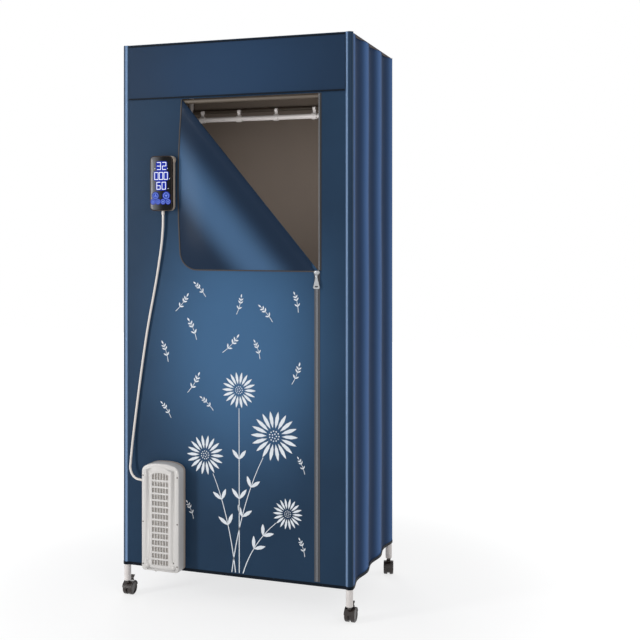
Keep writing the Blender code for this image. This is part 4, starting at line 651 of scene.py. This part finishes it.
# %% Rear cover
shape = swept_up(cover_line(REAR_Y, 1), LOW_Z, TOP_Z)
sliced(shape, (0, 0, 1), steps(LOW_Z, TOP_Z, 24)[1:-1])
rear_cover, rear_area = sewn("rear_cover", shape, "rear_frame", (0, 1, 0), NAVY, angle=28)
rear_hem = hemmed("rear_hem", cover_line(REAR_Y, 1, HEM_GAP), "rear_frame", 1)

# %% [markdown]
# ## Side, top and bottom covers
# The sides fold like a bellows when the frame closes, so each has three soft pleats that run
# from top to bottom. Each corner of the mesh notes how near it is to a crest, and the cloth's
# finish pales it by that, a painted highlight. The roof and floor are sheets that gather between
# the rails. These four pieces, and the side hems, each get a mesh of their own.

# %% Pleated sides
SIDE_START, SIDE_END, SIDE_TOP = FRONT_Y + 0.0003, REAR_Y - 0.0003, 1.6955
PLEATS, PLEAT_DEPTH, SWAY = 3, 0.010, 0.0006


def squashed(cloth):
    """Gives a cloth its own copy of its mesh."""
    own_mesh(cloth)


def along_side(y):
    """The share of the way from the front to the rear."""
    return (y - SIDE_START) / (SIDE_END - SIDE_START)


for side, word in ((-1, "left"), (1, "right")):
    line = []
    for y in steps(SIDE_START, SIDE_END, 60):
        dip = PLEAT_DEPTH * math.sin(PLEATS * math.pi * along_side(y)) ** 2
        line.append((side * (LEG_X + COLUMN - dip), y))
    shape = swept_up(line, LOW_Z, SIDE_TOP)
    sliced(shape, (0, 0, 1), steps(LOW_Z, SIDE_TOP, 20)[1:-1])
    painted_sheen = shape.verts.layers.float.new("painted_sheen")
    for v in shape.verts:
        share = along_side(v.co.y)
        sway = math.sin(math.pi * share) * (math.sin(v.co.z * 5.1 + side) + math.sin(v.co.z * 11.7))
        v.co.x -= side * SWAY * (sway + 2 * math.sin(math.pi * share))
        # each corner's share of the painted highlight on the pleat crests
        v[painted_sheen] = math.cos(PLEATS * math.pi * share) ** 4
    cover, area = sewn(f"side_cover_{word}", shape, "front_frame", (side, 0, 0), NAVY_PLEAT)
    hem_line = [(x + side * HEM_GAP, y) for x, y in line]
    hem = hemmed(f"side_hem_{word}", hem_line, "front_frame", side)
    for cloth in (cover, hem):
        squashed(cloth)

# %% Roof and floor
CORNER_X, CORNER_Y = 0.3458, 0.019  # where the corners are cut out for the legs
GATHER = 0.0045
start, end = FRONT_Y - 0.0065, REAR_Y + 0.0065
for word, height, down, wide, rail in (
    ("top", 1.697, -1, 0.3695, "front_rail_top"), ("bottom", LOW_Z, 1, 0.3585, "front_rail_low")
):
    shape = bmesh.new()
    bmesh.ops.create_grid(shape, x_segments=1, y_segments=1, size=0.5)
    bmesh.ops.scale(shape, vec=(2 * wide, end - start, 1), verts=shape.verts)
    bmesh.ops.translate(shape, vec=(0, (start + end) / 2, height), verts=shape.verts)
    sliced(shape, (1, 0, 0), steps(-wide, wide, 24)[1:-1] + [-CORNER_X, CORNER_X])
    sliced(shape, (0, 1, 0), steps(start, end, 60)[1:-1])
    corners = [
        f for f in shape.faces
        if abs(f.calc_center_median().x) > CORNER_X
        and not start + CORNER_Y < f.calc_center_median().y < end - CORNER_Y
    ]
    bmesh.ops.delete(shape, geom=corners, context="FACES")
    for v in shape.verts:
        share = (v.co.y - start) / (end - start)
        reach = max(0.0, math.sin(math.pi * share) - 0.12) * min(1.0, (wide - abs(v.co.x)) / 0.04)
        v.co.z += down * GATHER * reach * math.sin(4 * math.pi * share) ** 2
    cover, area = sewn(f"{word}_cover", shape, "front_frame", (0, 0, -down), NAVY)
    squashed(cover)


# %% [markdown]
# ## Header flap and door flap
# Both are flat sheets in the measured model, so their outlines are taken from its front faces.
# They are cut by planes into small cells and given a cloth's shape: the header sags a little
# between its ends, and the door flap, folded down over its diagonal, swells in one long soft
# roll that catches the light and also carries a painted highlight band along it. A thin binding
# or a zipper edge follows each outline.

# %% Outlines from the measured sheets
def front_of(node):
    """Only the front faces of a measured node, merged into one sheet."""
    shape = welded(node)
    shape.normal_update()
    others = [f for f in shape.faces if f.normal.y > -0.9]
    bmesh.ops.delete(shape, geom=others, context="FACES")
    bmesh.ops.dissolve_limit(shape, angle_limit=0.02, verts=shape.verts, edges=shape.edges)
    return shape


def rim_of(shape):
    """The outline of a flat sheet, in order."""
    edge = next(e for e in shape.edges if e.is_boundary)
    start, here = edge.verts
    ring = [start.co.copy(), here.co.copy()]
    while here != start:
        edge = next(e for e in here.link_edges if e.is_boundary and e != edge)
        here = edge.other_vert(here)
        ring.append(here.co.copy())
    return ring[:-1]


def strip_along(line, width, inward):
    """A flat band of this width beside a line, on the side of the inward point."""
    shape = bmesh.new()
    rows = []
    for spot, way in headings(line):
        side = Vector((-way.z, 0, way.x)) * width
        if side.dot(inward - spot) < 0:
            side = -side
        rows.append([shape.verts.new(spot), shape.verts.new(spot + side)])
    for a, b in zip(rows, rows[1:]):
        shape.faces.new((a[0], a[1], b[1], b[0]))
    facing(shape, (0, -1, 0))
    return shape


# %% Header flap
shape = front_of("header_flap")
header_front = min(v.co.y for v in shape.verts)
header_low, header_high = (side(v.co.z for v in shape.verts) for side in (min, max))


def sag(shape):
    """Lets the header's corners come forward, more so the further down they are."""
    for v in shape.verts:
        down = (header_high - v.co.z) / (header_high - header_low)
        ripple = 0.0009 * math.sin(v.co.x * 9 + 0.6) + 0.0005 * math.sin(v.co.x * 23)
        v.co.y -= down * (0.0010 + ripple)


sliced(shape, (1, 0, 0), steps(-0.35, 0.35, 40)[1:-1])
sliced(shape, (0, 0, 1), steps(header_low, header_high, 12)[1:-1])
sag(shape)
header, area = sewn(
    "header_flap", shape, "header_flap", (0, -1, 0), NAVY_HEADER, slot="header_cloth"
)
# the upper piping is sewn into the seam and stays when the flap is lifted with the lower one.
# The upper piping is also painted shade: its dark band is laid where the header's top edge falls into
# shade.
for word, centre, wide, body, slot in (
    ("top", header_high - 0.0022, 0.0042, "front_frame", NAVY_SLOT),
    ("bottom", header_low + 0.0021, 0.0040, "header_flap", "header_cloth"),
):
    shape = bmesh.new()
    block(shape, (0.694, 0.0034, wide), (0, header_front - 0.0004, centre))
    sliced(shape, (1, 0, 0), steps(-0.34, 0.34, 36))
    sag(shape)
    piping = piece(f"header_piping_{word}", shape, body, slot, BINDING, angle=50)

# %% Door flap with its roll
TIP_X, TIP_FROM, TIP_Z, TIP_THIN = 0.2545, 0.2455, 1.009, 0.64
ROLL, LIP, FLAP_LEFT, HELD = 0.0085, 0.0022, -0.1824, 0.10
shape = front_of("door_flap")
flap_front = min(v.co.y for v in shape.verts)


def from_fold(spot):
    """How far a point of the flap is from the fold, square to it."""
    return (Vector((spot.x, 0, spot.z)) - FOLD[0]).dot(fold_out)


deepest = max(from_fold(v.co) for v in shape.verts)
sliced(shape, fold_out, [fold_at + d for d in steps(0, deepest, 30)[1:-1]])
sliced(shape, fold_way, [FOLD[0].dot(fold_way) + d for d in steps(-0.36, 0.66, 34)])
sliced(shape, (1, 0, 0), steps(-0.180, -0.150, 5))
sliced(shape, (0, 0, 1), steps(1.012, 1.042, 5))


def flap_lift(spot):
    """The roll of the folded cloth: nothing at the seams, most along a line beside the fold."""
    far = max(0.0, from_fold(spot) / deepest)
    left = min(1.0, max(0.0, (spot.x - FLAP_LEFT) / HELD))
    low = min(1.0, max(0.0, (spot.z - TIP_Z) / HELD))
    held = (left * left * (3 - 2 * left)) * (low * low * (3 - 2 * low))
    roll = math.sin(math.pi * min(1.0, far * 1.02)) ** 1.3
    return ROLL * roll * held + LIP * math.exp(-((far - 0.03) / 0.03) ** 2)


for v in shape.verts:
    v.co.y -= flap_lift(v.co)
    if v.co.x > TIP_FROM:  # the tip runs on along the fold to the slider
        v.co.z = TIP_Z + (v.co.z - TIP_Z) * TIP_THIN
        v.co.x = TIP_X
door_flap, area = sewn(
    "door_flap", shape, "door_flap", (0, -1, 0), NAVY_FLAP, thickness=0.0010, inner=NAVY
)

# %% Zipper edge of the door flap
# the flap's outline from its top corner round the free edge to the slider's corner
edge_line = rim_of(front_of("door_flap"))
first = max(range(len(edge_line)), key=lambda i: edge_line[i].z)
edge_line = edge_line[first:] + edge_line[:first]
if edge_line[1].x > edge_line[-1].x:
    edge_line = [edge_line[0]] + edge_line[:0:-1]
corner = next(i for i, p in enumerate(edge_line) if p.x > 0.20 and p.z < 1.02)
edge_line = edge_line[: corner + 1]
fine = []
for a, b in zip(edge_line, edge_line[1:]):
    count = max(1, round((b - a).length / 0.012))
    fine += [a.lerp(b, i / count) for i in range(count)]
fine.append(edge_line[-1])
fine[-1].x = TIP_X
heart = Vector((-0.03, flap_front, 1.15))
for word, width, proud, given in (
    ("tape", 0.0036, 0.0006, TAPE_DARK), ("teeth", 0.0018, 0.0010, TEETH_DARK)
):
    shape = strip_along(fine, width, heart)
    for v in shape.verts:
        v.co.y = min(v.co.y, flap_front - flap_lift(v.co)) - proud
    band = piece(f"door_flap_{word}", shape, "door_flap", "zipper_metal", given, angle=60)
    thickened(band, 0.0008, 0.0)
print("door flap reaches", round(deepest, 3), "m from its fold")

# %% [markdown]
# ## Zipper
# The zipper's closed run is a woven tape with two columns of stamped teeth, 1.5 mm high and
# 2.6 mm apart. The open run beside the doorway shows one column and a strip of tape. The slider
# and its pull keep their measured shapes in plated zinc.

# %% Tapes, teeth and slider
smoothed("zipper_closed_run", TAPE)
smoothed("zipper_open_run", TAPE_DARK)
PITCH, TOOTH, TEETH_Y = 0.0026, (0.0032, 0.0010, 0.0015), -0.2170
for word, columns, low, high in (
    ("closed", (0.2612, 0.2648), 0.113, 0.997), ("open", (0.2695,), 1.0145, 1.526)
):
    shape = bmesh.new()
    for k, x in enumerate(columns):
        z = low + PITCH * (0.5 + 0.5 * (k % 2))  # the second column is half a step on
        while z < high:
            block(shape, TOOTH, (x, TEETH_Y, z))
            z += PITCH
    piece(f"zipper_teeth_{word}", shape, "front_frame", "zipper_metal", TEETH, angle=20)
    print("zipper", word, round(high - low, 3), "m")
smoothed("zipper_slider", ZINC, rounding=0.0003)
smoothed("zipper_pull", ZINC, rounding=0.0002)

# %% [markdown]
# ## Controller
# The controller is a beige back shell, a bronze-coloured rim and a face of black glass. The
# glass is darkest at the right and painted paler towards the left, a painted reflection of a
# bright room. Its figures are seven-segment digits: white bars over a wider blue patch read as lit
# segments with a halo. Plain round marks in blue stand for the touch keys.

# %% Controller shells and glass
smoothed("controller_back_shell", ABS_BEIGE, angle=40)
smoothed("controller_rim", BRONZE, rounding=0.0008)
GLASS, tree, shader = finish("black_glass", "0a0a0c", 0.16, Specular_IOR_Level=0.16)
place = add(tree, "TexCoord").outputs["Object"]
split = add(tree, "SeparateXYZ", (), {"Vector": place})
# the glass is painted paler towards the left: a painted reflection of a bright room
painted_reflection_share = add(
    tree, "MapRange",
    {"interpolation_type": "SMOOTHERSTEP", "From Min": -0.268, "From Max": -0.213},
    {"Value": split.outputs["X"]},
)
mixed = add(
    tree, "Mix", {"data_type": "RGBA", 6: tint("6c6d72"), 7: tint("050507")},
    {0: painted_reflection_share.outputs[0]},
)
tree.links.new(mixed.outputs[2], shader.inputs["Base Color"])
smoothed("controller_face", GLASS, rounding=0.0005)


# %% Lit finishes and flat marks
def glowing(name, colour, strength):
    """A lit mark of the display: nearly black when unlit, with its own light."""
    lit = {"Emission_Color": tint(colour), "Emission_Strength": strength}
    return finish(name, "06060a", 0.5, Specular_IOR_Level=0.1, **lit)[0]


LIT_WHITE = glowing("lit_white", "f0f3ff", 1.20)
LIT_BLUE = glowing("lit_blue", "0c2cb0", 0.85)
LIT_KEY = glowing("lit_key_blue", "1a44b8", 0.75)
LIT_PALE = glowing("lit_pale_blue", "93a8ff", 0.95)
GLASS_LEFT, GLASS_TOP, GLASS_Y = -0.2616, 1.3527, -0.2405
# how far each layer stands off the glass, and each mark off the one before
GLOW, HALO, BACKS, LIT, MARKS, LAYER = 0.00005, 0.00008, 0.00012, 0.00020, 0.00024, 0.00001
SEGMENTS = {"0": "abcdef", "2": "abged", "3": "abgcd", "6": "afgedc"}
WIDE, TALL, STROKE = 13.6, 23.2, 1.9  # a digit, in millimetres


def on_glass(left, top):
    """The place of a mark given in millimetres from the glass's upper left."""
    return GLASS_LEFT + left / 1000, GLASS_TOP - top / 1000


def flat_bar(shape, a, b, width, y):
    """A flat bar with pointed ends between two points of the glass."""
    a, b = Vector((a[0], y, a[1])), Vector((b[0], y, b[1]))
    way = (b - a).normalized()
    side = Vector((-way.z, 0, way.x)) * width / 2
    tip = way * width / 2
    flat_face(shape, [a - tip, a + side, b + side, b + tip, b - side, a - side])


def flat_ring(shape, x, z, outer, inner, y, count=28):
    """A flat ring, or a disc if it has no inner radius."""
    turns = steps(0, 2 * math.pi, count)
    rim, hole = (
        [(x + radius * math.cos(a), y, z + radius * math.sin(a)) for a in turns]
        for radius in (outer, inner)
    )
    if not inner:
        flat_face(shape, rim[:-1])
    else:
        for i in range(count):
            flat_face(shape, (rim[i + 1], rim[i], hole[i], hole[i + 1]))


def digit(shape, value, left, top, y):
    """One seven-segment digit, its place given in millimetres from the glass's upper left."""
    x0, z2 = on_glass(left + STROKE / 2, top + STROKE / 2)
    x1, z0 = on_glass(left + WIDE - STROKE / 2, top + TALL - STROKE / 2)
    z1 = (z0 + z2) / 2
    ends = {
        "a": ((x0, z2), (x1, z2)), "b": ((x1, z2), (x1, z1)), "c": ((x1, z1), (x1, z0)),
        "d": ((x0, z0), (x1, z0)), "e": ((x0, z1), (x0, z0)), "f": ((x0, z2), (x0, z1)),
        "g": ((x0, z1), (x1, z1)),
    }
    for name in SEGMENTS[value]:
        flat_bar(shape, *ends[name], STROKE / 1000, y)


# %% Digits with their halo
ROWS = (("32", 21.4, 16.6, 17.9), ("000", 13.2, 46.6, 15.6), ("60", 20.3, 76.2, 17.6))
MARGIN, CUT = 3.0, 0.0040
digits, halo = bmesh.new(), bmesh.new()
for text, left, top, pitch in ROWS:
    for k, value in enumerate(text):
        digit(digits, value, left + k * pitch, top, GLASS_Y - LIT - LAYER * k)
    x0, z1 = on_glass(left - MARGIN, top - MARGIN)
    x1, z0 = on_glass(left + (len(text) - 1) * pitch + WIDE + MARGIN, top + TALL + MARGIN)
    flat_face(halo, [(x, GLASS_Y - HALO, z) for x, z in (
        (x0 + CUT, z0), (x1 - CUT, z0), (x1, z0 + CUT), (x1, z1 - CUT),
        (x1 - CUT, z1), (x0 + CUT, z1), (x0, z1 - CUT), (x0, z0 + CUT),
    )])
for spot in ((14.7, 36.0), (57.0, 36.0), (63.8, 67.0), (59.2, 96.6)):
    flat_ring(digits, *on_glass(*spot), 0.0011, 0, GLASS_Y - LIT, 16)

# %% Keys
glow, backs, marks = bmesh.new(), bmesh.new(), bmesh.new()
KEYS = [(16.8, 118.0, 10.4), (52.6, 118.0, 10.4)] + [(x, 136.0, 7.4) for x in (8.8, 25.2, 42.2, 59.0)]
for k, (left, top, radius) in enumerate(KEYS):
    x, z = on_glass(left, top)
    r = radius / 1000
    flat_ring(glow, x, z, r * 1.22, 0, GLASS_Y - GLOW - LAYER / 2 * k)
    flat_ring(backs, x, z, r, 0, GLASS_Y - BACKS - LAYER * k)
    front = GLASS_Y - MARKS - LAYER * k
    flat_ring(marks, x, z, r * 0.92, r * 0.79, front)
    if k < 2:
        for turn in (90, 210, 330):
            a = math.radians(turn + 60 * k)
            end = (x + r * 0.45 * math.cos(a), z + r * 0.45 * math.sin(a))
            flat_bar(marks, (x, z), end, r * 0.20, front)
    elif k in (2, 4):
        for a in (math.radians(45), math.radians(135)):
            dx, dz = r * 0.4 * math.cos(a), r * 0.4 * math.sin(a)
            flat_bar(marks, (x - dx, z - dz), (x + dx, z + dz), r * 0.20, front)
    else:
        flat_ring(marks, x, z, r * 0.34, r * 0.20, front)
for word, shape, given in (
    ("halo", halo, LIT_BLUE), ("digits", digits, LIT_WHITE), ("key_halo", glow, LIT_BLUE),
    ("key_glow", backs, LIT_KEY), ("key_marks", marks, LIT_PALE),
):
    piece(f"display_{word}", shape, "front_frame", "black_glass", given, angle=60)

# %% [markdown]
# ## Heater and casters
# The heater's shells and grille keep their measured shapes, apart from the floor of each of the
# two channels, which slopes. A fine net lies behind the grille, and nine small screws hold the
# front. The casters are moulded twin wheels under a hood.

# %% Heater shells and inner parts
CHANNEL_Y, CHANNEL_AREA = -0.25775, 0.002
RAISED, SLOPE = -0.0027, 0.0062
heater = smoothed("heater_front_shell", ABS_WHITE, angle=30)
shape = bmesh.new()
shape.from_mesh(heater.data)
floors = [
    f for f in shape.faces
    if f.normal.y < -0.99 and abs(f.calc_center_median().y - CHANNEL_Y) < 0.0003
    and f.calc_area() > CHANNEL_AREA
]
for floor_face in floors:
    # each channel's floor slopes from a shallow left side to a deep right side
    left, right = (side(v.co.x for v in floor_face.verts) for side in (min, max))
    for v in floor_face.verts:
        v.co.y += RAISED + SLOPE * (v.co.x - left) / (right - left)
print("channels sloped:", len(floors))
shape.to_mesh(heater.data)
shape.free()
heater.data.set_sharp_from_angle(angle=math.radians(50))
# the rear shell is tinted tan as painted shade of the heater's shaded side
smoothed("heater_rear_shell", SHADED_SIDE_TAN, angle=30)
smoothed("heater_grille", ABS_WHITE, angle=30)
smoothed("heater_mains_inlet", ABS_WHITE)
smoothed("heater_element", FINS)
smoothed("heater_fan_rotor", ABS_GREY)

# %% Net behind the grille, motor and screws
HEATER_X, HEATER_LOW, HEATER_FRONT = -0.2195, 0.1047, -0.26015
NET_HALF, NET_LOW, NET_HIGH, WIRE = 0.0278, 0.1236, 0.4012, 0.0010
UPRIGHTS_Y, CROSSWIRES_Y = -0.2569, -0.2566
net = bmesh.new()
for place in steps(HEATER_X - NET_HALF, HEATER_X + NET_HALF, 24)[1:-1]:
    top = NET_HIGH - 0.006 * ((place - HEATER_X) / 0.028) ** 2
    block(net, (WIRE, WIRE / 2, top - NET_LOW), (place, UPRIGHTS_Y, (top + NET_LOW) / 2))
for place in steps(NET_LOW, NET_HIGH, 118)[1:-1]:
    block(net, (2 * NET_HALF, WIRE / 2, WIRE), (HEATER_X, CROSSWIRES_Y, place))
piece("heater_filter_net", net, "front_frame", "grey_abs", NET_WIRE, angle=30)
smoothed("heater_motor", STEEL)
SCREWS = [(side * 0.0568, height) for side in (-1, 1) for height in (0.0195, 0.1463, 0.286)]
SCREWS += [(-0.0412, 0.0065), (0.0420, 0.0085), (0.0455, 0.0290)]
for k, (x, z) in enumerate(SCREWS, 1):
    shape = bmesh.new()
    bmesh.ops.create_cone(
        shape, cap_ends=True, segments=20, radius1=0.0024, radius2=0.0020, depth=0.0007,
        matrix=Matrix.Rotation(math.pi / 2, 4, "X"),
    )
    for size in ((0.0020, 0.0001, 0.0004), (0.0004, 0.0001, 0.0020)):
        block(shape, size, (0, -0.00036, 0))
    spot = (HEATER_X + x, HEATER_FRONT - 0.0001, HEATER_LOW + z)
    bmesh.ops.translate(shape, vec=spot, verts=shape.verts)
    piece(f"heater_screw_{k}", shape, "front_frame", "white_abs", SCREW_STEEL, angle=30)
print("screws:", len(SCREWS))

# %% Casters
for corner in ("front_left", "front_right", "rear_left", "rear_right"):
    for part, given in (("housing", NYLON_BLACK), ("wheels", TREAD), ("pedal", NYLON_BLACK)):
        smoothed(f"{corner}_caster_{part}", given, angle=35)


# %% [markdown]
# ## Floor, backdrop and light
# The photograph stands on pure white with hardly a shadow. The surroundings are white to the
# camera and to reflections, and dimmer to the cloth, so that the navy keeps its depth. The floor
# is partly lit by itself where the camera sees it, and wholly so further out, so it keeps a soft
# shadow under the casters and has no horizon. A tall strip at the left is the key, because it
# draws one line of light down each column, over the painted highlight that the cloth has there. A
# fill stands at the right, and a faint lamp behind the front cover shines inwards, for the daylight
# that a doorway lets in. Two more lamps behind and beside the dryer draw out the back and the
# pleats, whose crests also carry a painted highlight, when it is seen from there.

# %% Floor
def looked_at_by(tree, *rays):
    """One to these kinds of ray, and nothing to all others."""
    path = add(tree, "LightPath")
    share = path.outputs[rays[0]]
    for ray in rays[1:]:
        share = add(
            tree, "Math", {"operation": "MAXIMUM"}, {0: share, 1: path.outputs[ray]}
        ).outputs[0]
    return share


floor_finish, tree, shader = finish("pale_floor", "f2f2f2", 0.9, Specular_IOR_Level=0.0)
place = add(tree, "TexCoord").outputs["Object"]
far = add(tree, "VectorMath", {"operation": "LENGTH"}, {0: place})
share = add(
    tree, "MapRange",
    {
        "interpolation_type": "SMOOTHERSTEP", "From Min": 0.45, "From Max": 1.7,
        "To Min": 0.64, "To Max": 1.0,
    },
    {"Value": far.outputs["Value"]},
)
seen = looked_at_by(tree, "Is Camera Ray", "Is Glossy Ray")
part = add(tree, "Math", {"operation": "MULTIPLY"}, {0: share.outputs[0], 1: seen})
own = add(tree, "Emission", {"Color": tint("ffffff"), "Strength": 1.15})
blend = add(
    tree, "MixShader", (), {0: part.outputs[0], 1: shader.outputs[0], 2: own.outputs[0]}
)
tree.links.new(blend.outputs[0], tree.nodes["Material Output"].inputs["Surface"])
shape = bmesh.new()
bmesh.ops.create_grid(shape, x_segments=1, y_segments=1, size=7)
mesh = bpy.data.meshes.new("floor")
shape.to_mesh(mesh)
shape.free()
mesh.materials.append(floor_finish)
placed("floor", mesh)

# %% Surroundings and lamps
world = bpy.data.worlds.new("studio")
bpy.context.scene.world = world
world.use_nodes = True
tree = world.node_tree
tree.nodes.clear()
seen = looked_at_by(tree, "Is Camera Ray", "Is Glossy Ray", "Is Transmission Ray")
level = add(tree, "MapRange", {"To Min": 0.45, "To Max": 1.0}, {"Value": seen})
sky = add(tree, "Background", {"Color": tint("ffffff")}, {"Strength": level.outputs[0]})
tree.links.new(sky.outputs[0], add(tree, "OutputWorld").inputs[0])

LAMPS = (  # name, place, what it aims at, width, height, power
    ("key", (-2.9, -3.1, 1.25), (0, 0, 0.95), 0.7, 3.0, 92),
    ("fill", (2.6, -2.6, 2.2), (0, 0, 0.8), 1.8, 1.8, 22),
    ("inside", (0.05, -0.18, 1.27), (0.05, 0.2, 1.22), 0.4, 0.4, 0.7),
    ("rear", (-1.9, 3.3, 2.3), (0, 0.2, 0.9), 1.6, 1.6, 34),
    ("side", (3.4, 0.9, 1.8), (0.3, 0.0, 0.9), 0.8, 2.0, 12),
)
for name, spot, aim, wide, tall, power in LAMPS:
    data = bpy.data.lights.new(name, "AREA")
    data.shape, data.size, data.size_y, data.energy = "RECTANGLE", wide, tall, power
    lamp = placed(name, data)
    lamp.location = spot
    lamp.rotation_euler = (Vector(aim) - Vector(spot)).to_track_quat("-Z", "Y").to_euler()

# %% [markdown]
# ## View transform

# %% Standard view transform
bpy.context.scene.view_settings.view_transform = "Standard"
